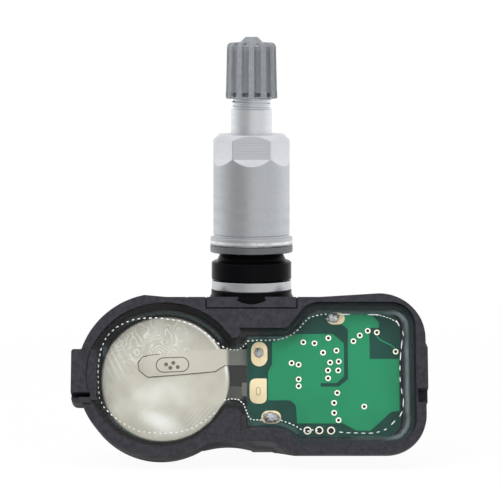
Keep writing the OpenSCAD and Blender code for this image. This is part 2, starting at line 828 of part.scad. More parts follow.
// Soft tube that leads the pressure from the floor's port to the chip
module port_seal() {
    color("#77726a") in_housing() at_place(sensor_at, floor_w) difference() {
        cylinder(h = seal_top_w - floor_w, d = port_seal_d);
        translate([0, 0, -over]) cylinder(h = seal_top_w - floor_w + 2 * over, d = port_d);
    }
}

module controller_shape() {
    at_place(controller_at, board_under_w - controller_h)
        translate([-controller_size / 2, -controller_size / 2, 0])
        cube([controller_size, controller_size, controller_h]);
}

module controller_chip() {
    color("#242426") in_housing() controller_shape();
}

// Space of the wake-up coil, which hangs under the board on the flanges of its core
module coil_envelope() {
    at_place(coil_at, board_under_w - coil_h) translate([-coil_w / 2, -coil_len / 2, 0])
        cube([coil_w, coil_len, coil_h]);
}

// Bar of the coil's core, which the wire is wound on
module coil_bar() {
    wide = coil_w - 2 * coil_bar_margin;
    high = coil_h - 2 * coil_bar_margin;
    translate([-wide / 2, -coil_len / 2, coil_bar_margin]) cube([wide, coil_len, high]);
}

module coil_core() {
    color("#4a4643") in_housing() at_place(coil_at, board_under_w - coil_h) {
        for (side = [-1, 1]) translate([-coil_w / 2, (side * (coil_len - coil_flange) - coil_flange) / 2, 0])
            cube([coil_w, coil_flange, coil_h]);
        coil_bar();
    }
}

module coil_winding() {
    turns = coil_len - 2 * coil_flange;
    wide = coil_w - 2 * coil_wire_margin;
    color("#b0693a") in_housing() at_place(coil_at, board_under_w - coil_h) difference() {
        translate([-wide / 2, -turns / 2, coil_wire_margin]) cube([wide, turns, coil_h - 2 * coil_wire_margin]);
        coil_bar();
    }
}

module crystal_shape() {
    lid = [crystal_size[0] - 2 * crystal_step, crystal_size[1] - 2 * crystal_step, crystal_size[2]];
    base = [crystal_size[0], crystal_size[1], crystal_size[2] / 2];
    at_place(crystal_at, board_under_w - crystal_size[2]) {
        translate([-lid[0] / 2, -lid[1] / 2, 0]) cube(lid);
        translate([-base[0] / 2, -base[1] / 2, base[2]]) cube(base);
    }
}

module crystal_can() {
    color("#b9b6a4") in_housing() crystal_shape();
}

module capacitor_shapes() {
    for (i = [0:capacitor_count - 1])
        at_place(capacitor_at + [0, i * capacitor_step], board_under_w - capacitor_size[2])
            translate([-capacitor_size[0] / 2, -capacitor_size[1] / 2, 0]) cube(capacitor_size);
}

module chip_capacitors() {
    color("#9a7b55") in_housing() capacitor_shapes();
}

// Flat bow under the board, whose two ends come up through it
module antenna_shape() {
    bar_w = floor_w + antenna_floor_gap;
    away = antenna_b - antenna_a;
    for (end = [antenna_a, antenna_b]) at_place(end, bar_w)
        translate([-antenna_w / 2, -antenna_w / 2, 0]) cube([antenna_w, antenna_w, ring_top_w + 0.3 - bar_w]);
    at_place(antenna_a, bar_w) rotate([0, 0, atan2(-away[1], away[0])])
        translate([0, -antenna_w / 2, 0]) cube([norm(away), antenna_w, antenna_t]);
}

module antenna_loop() {
    color("#c9a36a") in_housing() antenna_shape();
}

// Ring around the valve axis
module ring(outer_d, inner_d, height) {
    difference() {
        cylinder(h = height, d = outer_d, $fn = 96);
        translate([0, 0, -over]) cylinder(h = height + 2 * over, d = inner_d);
    }
}

module valve_stem() {
    shaft_r = stem_d / 2;
    thread_r = cap_thread_d / 2;
    bore_z = stem_top - core_bore_depth;
    color("#c2c5c7") rotate_extrude($fn = 96) polygon([
        [air_bore_d / 2, -stem_foot_depth], [foot_d / 2, -stem_foot_depth],
        [foot_d / 2, foot_h - stem_foot_depth], [shaft_r, foot_h - stem_foot_depth],
        [shaft_r, thread_z - 0.9], [thread_r - 0.35, thread_z - 0.6], [thread_r - 0.35, thread_z - 0.2],
        [thread_r, thread_z + 0.15], [thread_r, stem_top - 0.6], [thread_r - 0.5, stem_top],
        [core_bore_d / 2, stem_top], [core_bore_d / 2, bore_z], [air_bore_d / 2, bore_z - 0.7]
    ]);
}

module grommet() {
    inner_r = stem_d / 2 + seat_gap;
    color("#1b1b1d") rotate_extrude($fn = 96) polygon([
        [inner_r, -grommet_h], [grommet_d / 2 - 0.3, -grommet_h], [grommet_d / 2, 0.3 - grommet_h],
        [grommet_d / 2, -0.4], [grommet_d / 2 - 0.4, 0], [neck_root_d / 2, 0], [neck_d / 2 + 0.2, 0.35],
        [neck_d / 2, 0.8], [neck_d / 2, neck_h], [inner_r, neck_h]
    ]);
}

module plain_ring() {
    color("#b9bbbe") translate([0, 0, ring_z]) ring(ring_d, stem_d + 2 * ring_gap, ring_h);
}

module nut_washer() {
    color("#7a7c7f") translate([0, 0, washer_z]) ring(washer_d, stem_d + 2 * thread_gap, washer_h);
}

// Cuts one flat of the nut's hexagon, with its slope out into the barrel
module hex_flat(angle) {
    deep = (nut_d - hex_af) / 2;
    slope = hex_runout / deep;
    foot_z = nut_top_z - hex_h;
    rotate([0, 0, angle]) rotate([90, 0, 0]) linear_extrude(nut_d, center = true) polygon([
        [hex_af / 2, nut_top_z + over], [hex_af / 2, foot_z],
        [nut_d / 2 + over, foot_z - slope * (deep + over)], [nut_d / 2 + over, nut_top_z + over]
    ]);
}

module valve_nut() {
    r = nut_d / 2;
    color("#bfc2c4") difference() {
        rotate_extrude($fn = 96) polygon([
            [0, nut_z], [flange_d / 2 - 0.3, nut_z], [flange_d / 2, nut_z + 0.3],
            [flange_d / 2, nut_z + flange_h - 0.25], [flange_d / 2 - 0.25, nut_z + flange_h],
            [r - 0.2, nut_z + flange_h], [r - 0.2, nut_z + flange_h + 0.35],
            [r, nut_z + flange_h + 0.5], [r, nut_top_z - nut_chamfer],
            [hex_af / 2 - 0.1, nut_top_z], [0, nut_top_z]
        ]);
        for (i = [0:5]) hex_flat(i * 60 - 90);
        translate([0, 0, nut_z - over]) cylinder(h = nut_h + 2 * over, d = stem_d + 2 * thread_gap);
        translate([0, 0, nut_z + nut_thread_h])
            cylinder(h = nut_h, d = stem_d + 2 * thread_gap + 0.5);
        translate([0, 0, nut_top_z - nut_mouth_h])
            cylinder(h = nut_mouth_h + 0.01, d1 = stem_d + 0.6, d2 = nut_mouth_d);
    }
}

module core_barrel() {
    bore_r = pin_d / 2 + thread_gap;
    head_r = core_bore_d / 2 - seat_gap;
    head_z = core_top_z - core_head_len;
    color("#c8a95a") rotate_extrude() polygon([
        [bore_r, core_z], [core_barrel_d / 2, core_z], [core_barrel_d / 2, head_z],
        [head_r, head_z + 0.3], [head_r, core_top_z], [bore_r, core_top_z],
        [bore_r, chamber_top_z], [core_chamber_d / 2, chamber_top_z],
        [core_chamber_d / 2, chamber_z], [bore_r, chamber_z]
    ]);
}

module core_gasket() {
    top_z = core_top_z - core_head_len - seat_gap;
    outer_r = core_bore_d / 2 - seat_gap;
    color("#2a2a2c") rotate_extrude() polygon([
        [core_barrel_d / 2 + seat_gap, top_z - 1.6], [outer_r - 0.3, top_z - 1.6],
        [outer_r, top_z - 1], [outer_r, top_z], [core_barrel_d / 2 + seat_gap, top_z]
    ]);
}

module core_pin() {
    foot_z = cup_z - 0.4;
    color("#cdb36c") union() {
        translate([0, 0, foot_z]) cylinder(h = core_top_z + pin_rise - foot_z, d = pin_d);
        translate([0, 0, foot_z]) cylinder(h = cup_z - seat_gap - foot_z, d = pin_head_d);
        translate([0, 0, collar_z]) cylinder(h = collar_h, d = pin_head_d);
    }
}

module core_cup() {
    color("#262628") translate([0, 0, cup_z]) ring(cup_d, pin_d + 2 * seat_gap, cup_h);
}

// Coil of round wire that pushes the pin's collar up, as a swept helix
module core_spring() {
    sides = 6;
    per_turn = 16;
    wire_r = spring_wire_d / 2;
    mean_r = (core_chamber_d - spring_wire_d) / 2 - 0.12;
    low = chamber_z + wire_r + seat_gap;
    high = collar_z - wire_r - seat_gap;
    count = spring_turns * per_turn;
    points = [
        for (i = [0:count], j = [0:sides - 1])
            let (turn = 360 * i / per_turn, around = 360 * j / sides, r = mean_r + wire_r * cos(around))
            [r * cos(turn), r * sin(turn), low + (high - low) * i / count + wire_r * sin(around)]
    ];
    skin = [
        for (i = [0:count - 1], j = [0:sides - 1])
            let (a = i * sides + j, b = i * sides + (j + 1) % sides)
            [a, a + sides, b + sides, b]
    ];
    ends = [[for (j = [0:sides - 1]) j], [for (j = [sides - 1:-1:0]) count * sides + j]];
    color("#a9a9a4") polyhedron(points, concat(skin, ends));
}

module valve_cap() {
    base_r = cap_base_d / 2;
    top_r = cap_top_d / 2;
    bore_r = cap_thread_d / 2 + thread_gap;
    color("#7d8284") difference() {
        rotate_extrude($fn = 96) polygon(concat(
            [[0, cap_z], [base_r - 0.25, cap_z], [base_r, cap_z + 0.25], [base_r, cap_z + cap_rim_h]],
            arc([top_r - 0.6, cap_shoulder_z - 0.6], 0.6, 0, 90, 4),
            [[crown_base_d / 2, cap_shoulder_z], [crown_tip_d / 2, cap_shoulder_z + crown_h]],
            [[0, cap_shoulder_z + crown_h]]
        ));
        for (i = [0:cap_flutes - 1]) rotate([0, 0, (i + 0.5) * 360 / cap_flutes - 90])
            translate([base_r + flute_d / 2 - flute_depth, 0, cap_z + cap_rim_h])
            cylinder(h = cap_h + over, d = flute_d, $fn = 32);
        translate([0, 0, cap_z - over]) cylinder(h = cap_roof_z - cap_z + over, r = bore_r);
        translate([0, 0, cap_z - 0.01]) cylinder(h = 0.5, r1 = bore_r + 0.5, r2 = bore_r);
    }
}

module cap_seal() {
    color("#2c2c2e") translate([0, 0, seal_z]) ring(cap_thread_d - 0.2, seal_bore_d, seal_h);
}

housing();
potting_gel();
coin_cell();
positive_strip();
negative_strip();
circuit_board();
copper_pour();
via_rings();
solder_pads();
solder_joints();
pressure_chip();
port_seal();
controller_chip();
coil_core();
coil_winding();
crystal_can();
chip_capacitors();
antenna_loop();
valve_stem();
grommet();
plain_ring();
nut_washer();
valve_nut();
core_barrel();
core_gasket();
core_pin();
core_cup();
core_spring();
valve_cap();
cap_seal();
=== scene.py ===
"""Visual model of a tyre pressure sensor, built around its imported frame.

Every length in the dataclasses is in millimetres, and every mesh is in metres in the frame's own axes.
"""

import json
import logging
import math
from dataclasses import dataclass, field
from enum import Enum
from typing import Callable, Optional, Sequence

import bmesh
import bpy
import numpy as np
from mathutils import Matrix, Vector, noise
from mathutils.geometry import delaunay_2d_cdt


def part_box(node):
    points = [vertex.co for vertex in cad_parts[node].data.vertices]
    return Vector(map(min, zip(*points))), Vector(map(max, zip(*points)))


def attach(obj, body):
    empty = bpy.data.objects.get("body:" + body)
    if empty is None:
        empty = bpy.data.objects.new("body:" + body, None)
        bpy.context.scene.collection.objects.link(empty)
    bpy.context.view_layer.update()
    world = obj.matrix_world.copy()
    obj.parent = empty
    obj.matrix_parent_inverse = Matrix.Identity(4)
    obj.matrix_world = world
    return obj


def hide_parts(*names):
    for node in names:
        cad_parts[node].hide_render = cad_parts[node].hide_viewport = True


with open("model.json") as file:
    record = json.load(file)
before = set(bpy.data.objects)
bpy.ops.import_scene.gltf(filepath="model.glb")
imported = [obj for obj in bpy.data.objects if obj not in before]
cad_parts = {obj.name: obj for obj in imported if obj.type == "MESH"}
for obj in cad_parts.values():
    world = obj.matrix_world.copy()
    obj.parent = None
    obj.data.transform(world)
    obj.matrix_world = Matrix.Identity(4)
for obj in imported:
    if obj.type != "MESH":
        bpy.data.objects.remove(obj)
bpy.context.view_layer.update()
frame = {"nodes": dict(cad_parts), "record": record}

LOG = logging.getLogger("sensor")
MM = 0.001
FLOAT = "NodeSocketFloat"
COLOUR = "NodeSocketColor"

Profile = list[tuple[float, float]]
Colour = tuple[float, float, float]
Span = tuple[float, float]
Shaper = Callable[[float, float, float], tuple[float, float]]
Socket = bpy.types.NodeSocket

# The housing's own axes: to the right, up along its rim, and out of the rim, from a point on the boss
TILT = math.radians(20)
RIM_ORIGIN = Vector((0.0, -7.55, -7.3))
RIM_RIGHT = Vector((1.0, 0.0, 0.0))
RIM_UP = Vector((0.0, math.sin(TILT), math.cos(TILT)))
RIM_OUT = Vector((0.0, -math.cos(TILT), math.sin(TILT)))
RIM_TURN = Matrix((RIM_RIGHT, RIM_UP, RIM_OUT)).transposed().to_4x4()
HOUSING = Matrix.Scale(MM, 4) @ Matrix.Translation(RIM_ORIGIN) @ RIM_TURN

# Depths of the surfaces inside the housing, measured out of the rim
GEL_TOP = -2.0
BOARD_TOP = -3.6
POUR_TOP = -3.55
PAD_TOP = -3.48
CELL_TOP = -5.0

# Middle of the cell in the rim's plane, and its radius
CELL_CENTRE = (-16.3, -13.8)
CELL_RADIUS = 12.25

# Merging distance of a copied node's corners, and how deep a thin piece is sunk into what carries it
MERGE = 0.002
SUNK = 0.01


class Body(Enum):
    """The rigid bodies that pieces ride on."""

    SENSOR = "sensor"
    NUT_LIFT = "nut_lift"
    NUT = "nut_turning"
    CAP_LIFT = "cap_lift"
    CAP = "cap_turning"
    CORE = "core_stem"


# Node helpers


def srgb(red: int, green: int, blue: int) -> Colour:
    """Turns a colour as a screen shows it into the linear values that shaders take.

    Args:
        red: Red from 0 to 255.
        green: Green from 0 to 255.
        blue: Blue from 0 to 255.

    Returns:
        The three linear values.
    """
    def channel(value: int) -> float:
        """Linear value of one channel."""
        share = value / 255
        return share / 12.92 if share <= 0.04045 else ((share + 0.055) / 1.055) ** 2.4

    return channel(red), channel(green), channel(blue)


class Tree:
    """Short way to add nodes to a node tree and to link them."""

    def __init__(self, tree: bpy.types.NodeTree) -> None:
        """Keeps the tree that nodes are added to."""
        self.tree = tree

    def node(self, kind: str, settings: Optional[dict] = None, **inputs: object) -> bpy.types.Node:
        """Adds a node, sets its properties and fills or links its inputs.

        Args:
            kind: Blender's identifier of the node.
            settings: Properties of the node itself.
            **inputs: Values or sockets for its inputs. A name's underscores stand for spaces, and in0, in1
                and so on name inputs by place.

        Returns:
            The new node.
        """
        made = self.tree.nodes.new(kind)
        for name, value in (settings or {}).items():
            setattr(made, name, value)
        for name, value in inputs.items():
            if name.startswith("in") and name[2:].isdigit():
                socket = made.inputs[int(name[2:])]
            else:
                socket = made.inputs[name.replace("_", " ")]
            self.feed(socket, value)
        return made

    def feed(self, socket: Socket, value: object) -> None:
        """Links a socket to an input, or sets its value."""
        if isinstance(value, Socket):
            self.tree.links.new(value, socket)
            return
        if isinstance(value, tuple) and len(value) == 3 and socket.type == "RGBA":
            value = (*value, 1.0)
        socket.default_value = value

    def math(self, operation: str, *values: object) -> Socket:
        """Result of one Math node."""
        settings = {"operation": operation}
        made = self.node("ShaderNodeMath", settings, **{f"in{i}": v for i, v in enumerate(values)})
        return made.outputs[0]

    def mix(self, factor: object, first: object, second: object) -> Socket:
        """Colour between two others."""
        made = self.node("ShaderNodeMix", {"data_type": "RGBA"})
        self.feed(made.inputs[0], factor)
        self.feed(made.inputs[6], first)
        self.feed(made.inputs[7], second)
        return made.outputs[2]

    def scale(self, value: object, low: object, high: object) -> Socket:
        """Number between two others, for a value from 0 to 1."""
        made = self.node("ShaderNodeMapRange", in0=value, in3=low, in4=high)
        return made.outputs[0]

    def steps(self, value: object, low: float, high: float) -> Socket:
        """Mask that rises smoothly from 0 to 1 between two values."""
        settings = {"interpolation_type": "SMOOTHSTEP"}
        made = self.node("ShaderNodeMapRange", settings, in0=value, in1=low, in2=high)
        return made.outputs[0]

    def fall(self, value: object, low: float, high: float) -> Socket:
        """Mask that falls smoothly from 1 to 0 between two values."""
        return self.math("SUBTRACT", 1.0, self.steps(value, low, high))

    def band(self, value: object, rise: Span, fall: Span) -> Socket:
        """Mask that is 1 between a smooth rise and a smooth fall."""
        return self.math("SUBTRACT", self.steps(value, *rise), self.steps(value, *fall))

    def product(self, first: object, *others: object) -> Socket:
        """Product of two or more values."""
        for other in others:
            first = self.math("MULTIPLY", first, other)
        return first

    def vector(self, operation: str, *values: object) -> Socket:
        """Result of one Vector Math node: a number for a length or a dot product, and else a vector."""
        settings = {"operation": operation}
        made = self.node("ShaderNodeVectorMath", settings, **{f"in{i}": v for i, v in enumerate(values)})
        return made.outputs["Value" if operation in ("LENGTH", "DOT_PRODUCT") else "Vector"]

    def axes(self, place: object) -> tuple[Socket, ...]:
        """The three numbers of a vector."""
        return tuple(self.node("ShaderNodeSeparateXYZ", Vector=place).outputs)

    def joined(self, across: object, deep: object) -> Socket:
        """Length of a vector made of two numbers."""
        return self.vector("LENGTH", self.node("ShaderNodeCombineXYZ", X=across, Y=deep).outputs[0])

    def noise(self, place: object, scale: object, detail: float, roughness: float = 0.5) -> Socket:
        """Soft cloudy pattern in space, around 0.5."""
        made = self.node("ShaderNodeTexNoise", Vector=place, Scale=scale, Detail=detail, Roughness=roughness)
        return made.outputs[0]

    def noise_along(self, run: object, scale: float, detail: float) -> Socket:
        """Soft pattern along one number, around 0.5."""
        settings = {"noise_dimensions": "1D"}
        return self.node("ShaderNodeTexNoise", settings, W=run, Scale=scale, Detail=detail).outputs[0]

    def place(self) -> Socket:
        """Object coordinates, in millimetres."""
        coordinates = self.node("ShaderNodeTexCoord").outputs["Object"]
        return self.vector("MULTIPLY", coordinates, (1 / MM, 1 / MM, 1 / MM))

    def place_from_rim(self) -> Socket:
        """Place from the origin of the housing's axes, in millimetres."""
        return self.vector("SUBTRACT", self.place(), tuple(RIM_ORIGIN))


def new_material(name: str) -> tuple[bpy.types.Material, Tree]:
    """Starts a material with no nodes, and a helper for it."""
    material = bpy.data.materials.new(name)
    material.use_nodes = True
    material.node_tree.nodes.clear()
    return material, Tree(material.node_tree)


def shader_group(
    name: str, inputs: Sequence[tuple[str, str, object]], outputs: Sequence[tuple[str, str]]
) -> tuple[bpy.types.NodeTree, Tree, bpy.types.Node, bpy.types.Node]:
    """Starts a shader node group with named sockets.

    Args:
        name: Name of the group.
        inputs: Name, socket type and default of each input.
        outputs: Name and socket type of each output.

    Returns:
        The group, a helper for it, and its input and output nodes.
    """
    group = bpy.data.node_groups.new(name, "ShaderNodeTree")
    for label, kind, default in inputs:
        socket = group.interface.new_socket(name=label, in_out="INPUT", socket_type=kind)
        socket.default_value = default
    for label, kind in outputs:
        group.interface.new_socket(name=label, in_out="OUTPUT", socket_type=kind)
    tree = Tree(group)
    return group, tree, tree.node("NodeGroupInput"), tree.node("NodeGroupOutput")


class Effects:
    """The shader node groups that more than one finish uses, each built once."""

    PATCH_EDGE: Span = (0.35, 0.65)
    MOTTLE_EDGE: Span = (0.3, 0.7)
    END_SHARE = 1.37
    STREAK_SHARE = 0.11

    def __init__(self) -> None:
        """Builds every group."""
        self.grain = self._grain()
        self.turning = self._turning()
        self.mottle = self._mottle()

    def _grain(self) -> bpy.types.NodeTree:
        """Fine even grain of a moulded or blasted surface.

        Returns:
            Group with a height and a patchy mask.
        """
        group, tree, given, out = shader_group(
            "fine_grain",
            [("Grain size", FLOAT, 0.1), ("Patch size", FLOAT, 4.0)],
            [("Height", FLOAT), ("Patches", FLOAT)],
        )
        place = tree.place()
        fine = tree.math("DIVIDE", 1.0, given.outputs["Grain size"])
        wide = tree.math("DIVIDE", 1.0, given.outputs["Patch size"])
        tree.feed(out.inputs["Height"], tree.noise(place, fine, 3.0, 0.6))
        tree.feed(out.inputs["Patches"], tree.steps(tree.noise(place, wide, 2.0), *self.PATCH_EDGE))
        return group

    def _turning(self) -> bpy.types.NodeTree:
        """Fine rings that a lathe leaves around the valve axis, on sides and on ends.

        Returns:
            Group with a height and a streak mask.
        """
        group, tree, given, out = shader_group(
            "turning_rings", [("Pitch", FLOAT, 0.12)], [("Height", FLOAT), ("Streaks", FLOAT)]
        )
        x, y, z = tree.axes(tree.place())
        run = tree.math("ADD", z, tree.product(tree.joined(x, y), self.END_SHARE))
        turns = tree.math("DIVIDE", run, given.outputs["Pitch"])
        tree.feed(out.inputs["Height"], tree.noise_along(turns, 1.0, 2.0))
        slow = tree.product(turns, self.STREAK_SHARE)
        tree.feed(out.inputs["Streaks"], tree.noise_along(slow, 1.0, 3.0))
        return group

    def _mottle(self) -> bpy.types.NodeTree:
        """Slight change of colour over a surface.

        Returns:
            Group with a colour.
        """
        grey = (0.5, 0.5, 0.5, 1)
        inputs = [("Base", COLOUR, grey), ("Other", COLOUR, grey), ("Size", FLOAT, 6.0)]
        group, tree, given, out = shader_group("mottle", inputs, [("Color", COLOUR)])
        wide = tree.math("DIVIDE", 1.0, given.outputs["Size"])
        mask = tree.steps(tree.noise(tree.place(), wide, 4.0, 0.6), *self.MOTTLE_EDGE)
        tree.feed(out.inputs["Color"], tree.mix(mask, given.outputs["Base"], given.outputs["Other"]))
        return group


# Finishes


@dataclass
class Surface:
    """What a finish gives its shader: a colour, a roughness and a height."""

    colour: Socket
    roughness: Socket
    height: Socket


@dataclass(frozen=True)
class Finish:
    """A surface finish: a Principled shader whose colour, roughness and normal vary over the surface."""

    name: str
    base: Colour
    other: Colour
    rough: Span = (0.4, 0.5)
    metallic: float = 0.0
    grain_mm: float = 0.1
    grain_height: float = 0.004
    patch_mm: float = 4.0
    mottle_mm: float = 6.0
    turning_pitch: float = 0.0
    turning_height: float = 0.0
    turning_streak: float = 0.25
    specular: float = 0.5

    def build(self, effects: Effects) -> bpy.types.Material:
        """Makes the material.

        Args:
            effects: The shared node groups.

        Returns:
            The material.
        """
        material, tree = new_material(self.name)
        grain = tree.node(
            "ShaderNodeGroup", {"node_tree": effects.grain}, Grain_size=self.grain_mm,
            Patch_size=self.patch_mm,
        )
        mottle = tree.node(
            "ShaderNodeGroup", {"node_tree": effects.mottle}, Base=self.base, Other=self.other,
            Size=self.mottle_mm,
        )
        surface = Surface(
            mottle.outputs["Color"], tree.scale(grain.outputs["Patches"], *self.rough),
            tree.product(grain.outputs["Height"], self.grain_height),
        )
        if self.turning_pitch:
            turning = tree.node("ShaderNodeGroup", {"node_tree": effects.turning}, Pitch=self.turning_pitch)
            rings = tree.product(turning.outputs["Height"], self.turning_height)
            surface.height = tree.math("ADD", surface.height, rings)
            streak = tree.math("SUBTRACT", turning.outputs["Streaks"], 0.5)
            streak = tree.product(streak, self.turning_streak)
            surface.roughness = tree.math("ADD", surface.roughness, streak)
        self.detail(tree, surface)
        bump = tree.node("ShaderNodeBump", Height=surface.height, Distance=MM, Strength=1.0)
        shader = tree.node(
            "ShaderNodeBsdfPrincipled", Base_Color=surface.colour, Roughness=surface.roughness,
            Normal=bump.outputs[0], Metallic=self.metallic, Specular_IOR_Level=self.specular,
        )
        tree.node("ShaderNodeOutputMaterial", Surface=shader.outputs[0])
        return material

    def detail(self, tree: Tree, surface: Surface) -> None:
        """Adds nothing here: a finish with marks of its own overrides it."""


@dataclass(frozen=True)
class Fan:
    """Painted streaks of reflected light on the cell: their slant, their number and where they show."""

    slant: float
    number: float
    side: Span
    level: Span


@dataclass(frozen=True)
class CellFinish(Finish):
    """Nickel sheet of a coin cell's can, with painted reflections of light on it and painted shade on its rim
    and right side.

    Places are in shares of the cell's radius, to the right and up from its middle, and a span is where the
    edge of a mark begins and ends.
    """

    # Colours of the painted highlights, and of the painted shade on the rim and right side
    highlight_paint: Colour = (1.0, 1.0, 1.0)
    painted_shade: Colour = (0.5, 0.5, 0.5)
    centre: tuple[float, float, float] = (0.0, 0.0, 0.0)
    wave_scale: float = 2.6
    wave_number: float = 95.0
    wave_line: Span = (0.35, 1.0)
    wave_foot: Span = (0.12, 0.4)
    wave_right: Span = (0.1, 0.6)
    wave_gap_scale: float = 5.0
    wave_gaps: Span = (0.3, 0.48)
    wave_share: float = 0.62
    left_fan: Fan = Fan(0.55, 62.0, (-0.75, -0.45), (-0.1, 0.25))
    right_fan: Fan = Fan(-0.9, 85.0, (0.25, 0.5), (-0.55, -0.3))
    right_fan_share: float = 0.8
    fan_line: Span = (0.2, 1.0)
    fan_share: float = 0.5
    sheen_scale: float = 1.3
    sheen_edge: Span = (0.45, 0.7)
    sheen_share: float = 0.45
    beam_middle: tuple[float, float] = (-0.08, -0.64)
    beam_slant: float = 0.35
    beam_flatness: float = 2.1
    beam_reach: float = 0.5
    beam_share: float = 0.85
    rim_edge: Span = (0.86, 1.0)
    rim_share: float = 0.55
    right_edge: Span = (0.3, 0.95)
    right_share: float = 0.5
    arc_rise: Span = (0.925, 0.95)
    arc_fall: Span = (0.965, 0.985)
    arc_side: Span = (0.1, 0.5)
    arc_foot: Span = (-0.15, 0.2)
    arc_share: float = 0.85
    polish: float = 0.08
    relief: float = 0.002

    def detail(self, tree: Tree, surface: Surface) -> None:
        """Adds the painted reflections and a painted beam of light, painted shade on the rim and right side,
        and a painted highlight arc at the rim.

        Args:
            tree: Helper for the material's nodes.
            surface: What the shader is given, which is changed.
        """
        unit = tree.vector("SUBTRACT", tree.place(), self.centre)
        unit = tree.vector("MULTIPLY", unit, (1 / CELL_RADIUS, 1 / CELL_RADIUS, 1 / CELL_RADIUS))
        across, _, up = tree.axes(unit)
        away = tree.vector("LENGTH", unit)
        # All of this is painted light: reflections, a beam and an arc of highlight, and shade on the rim and
        # right side
        marks = tree.math("MAXIMUM", self.rubbing(tree, unit, across, up), self.beam(tree, across, up))
        rim = tree.product(tree.steps(away, *self.rim_edge), self.rim_share)
        right = tree.product(tree.steps(across, *self.right_edge), self.right_share)
        arc = tree.product(
            tree.band(away, self.arc_rise, self.arc_fall), tree.steps(across, *self.arc_side),
            tree.steps(up, *self.arc_foot), self.arc_share,
        )
        surface.colour = tree.mix(marks, surface.colour, self.highlight_paint)
        surface.colour = tree.mix(tree.math("MAXIMUM", rim, right), surface.colour, self.painted_shade)
        surface.colour = tree.mix(arc, surface.colour, self.highlight_paint)
        surface.roughness = tree.math("SUBTRACT", surface.roughness, tree.product(marks, self.polish))
        surface.height = tree.math("ADD", surface.height, tree.product(marks, self.relief))

    def rubbing(self, tree: Tree, unit: Socket, across: Socket, up: Socket) -> Socket:
        """Painted reflections: wavy lines over the upper part, streaks at the left and low at the right, and
        a broad sheen.

        Args:
            tree: Helper for the material's nodes.
            unit: Place on the cell.
            across: Its part to the right.
            up: Its part upwards.

        Returns:
            Mask of the painted reflections.
        """
        waves = tree.math("SINE", tree.product(tree.noise(unit, self.wave_scale, 1.5), self.wave_number))
        waves = tree.product(
            tree.steps(waves, *self.wave_line), tree.steps(up, *self.wave_foot),
            tree.fall(across, *self.wave_right),
            tree.steps(tree.noise(unit, self.wave_gap_scale, 2.0), *self.wave_gaps), self.wave_share,
        )
        left = tree.product(
            self.streaks(tree, self.left_fan, across, up), tree.fall(across, *self.left_fan.side),
            tree.steps(up, *self.left_fan.level),
        )
        right = tree.product(
            self.streaks(tree, self.right_fan, across, up), tree.steps(across, *self.right_fan.side),
            tree.fall(up, *self.right_fan.level), self.right_fan_share,
        )
        fans = tree.product(tree.math("MAXIMUM", left, right), self.fan_share)
        sheen = tree.steps(tree.noise(unit, self.sheen_scale, 2.0), *self.sheen_edge)
        return tree.math("MAXIMUM", tree.math("MAXIMUM", waves, fans), tree.product(sheen, self.sheen_share))

    def streaks(self, tree: Tree, fan: Fan, across: Socket, up: Socket) -> Socket:
        """Mask of a fan's streaks, wherever they show."""
        run = tree.math("ADD", across, tree.product(up, fan.slant))
        return tree.steps(tree.math("SINE", tree.product(run, fan.number)), *self.fan_line)

    def beam(self, tree: Tree, across: Socket, up: Socket) -> Socket:
        """Painted highlight: a soft slanting patch of light under the middle.

        Args:
            tree: Helper for the material's nodes.
            across: Part of the place to the right.
            up: Part of it upwards.

        Returns:
            Mask of the beam.
        """
        side, level = self.beam_middle
        rise = tree.math("ADD", up, tree.math("SUBTRACT", tree.product(across, self.beam_slant), level))
        far = tree.joined(tree.math("SUBTRACT", across, side), tree.product(rise, self.beam_flatness))
        return tree.product(tree.fall(far, 0.0, self.beam_reach), self.beam_share)


@dataclass(frozen=True)
class HousingFinish(Finish):
    """Moulded plastic that is matt and greyish, with painted shade on the walls of its pockets."""

    # Colour of the painted shade on the pockets' inner walls
    shade_below_rim: Colour = (0.01, 0.01, 0.01)
    depth: Span = (-0.42, -0.16)
    neck: Span = (-2.25, -2.05)
    facing: Span = (-0.45, -0.15)
    round_middle: tuple[float, float] = (-16.3, -13.5)
    board_middle: tuple[float, float] = (13.5, -13.5)

    def detail(self, tree: Tree, surface: Surface) -> None:
        """Paints shade on the pockets' walls under the rim.

        Args:
            tree: Helper for the material's nodes.
            surface: What the shader is given, which is changed.
        """
        place = tree.place_from_rim()
        shade_below_rim = tree.fall(tree.vector("DOT_PRODUCT", place, tuple(RIM_OUT)), *self.depth)
        by_board = tree.steps(tree.vector("DOT_PRODUCT", place, tuple(RIM_RIGHT)), *self.neck)
        away = tree.math(
            "ADD", tree.product(by_board, self.away_from(tree, self.board_middle)),
            tree.product(tree.math("SUBTRACT", 1.0, by_board), self.away_from(tree, self.round_middle)),
        )
        inner = tree.fall(away, *self.facing)
        # Painted shade where a wall faces into a pocket, under the rim
        surface.colour = tree.mix(tree.product(inner, shade_below_rim), surface.colour, self.shade_below_rim)

    @staticmethod
    def away_from(tree: Tree, middle: tuple[float, float]) -> Socket:
        """How far the surface faces away from a pocket's middle: -1 where it faces it.

        Args:
            tree: Helper for the material's nodes.
            middle: The middle, to the right and up along the rim.

        Returns:
            The value.
        """
        point = HOUSING @ Vector((*middle, 0.0)) / MM
        away = tree.vector("NORMALIZE", tree.vector("SUBTRACT", tree.place(), tuple(point)))
        normal = tree.node("ShaderNodeNewGeometry").outputs["Normal"]
        return tree.vector("DOT_PRODUCT", away, normal)


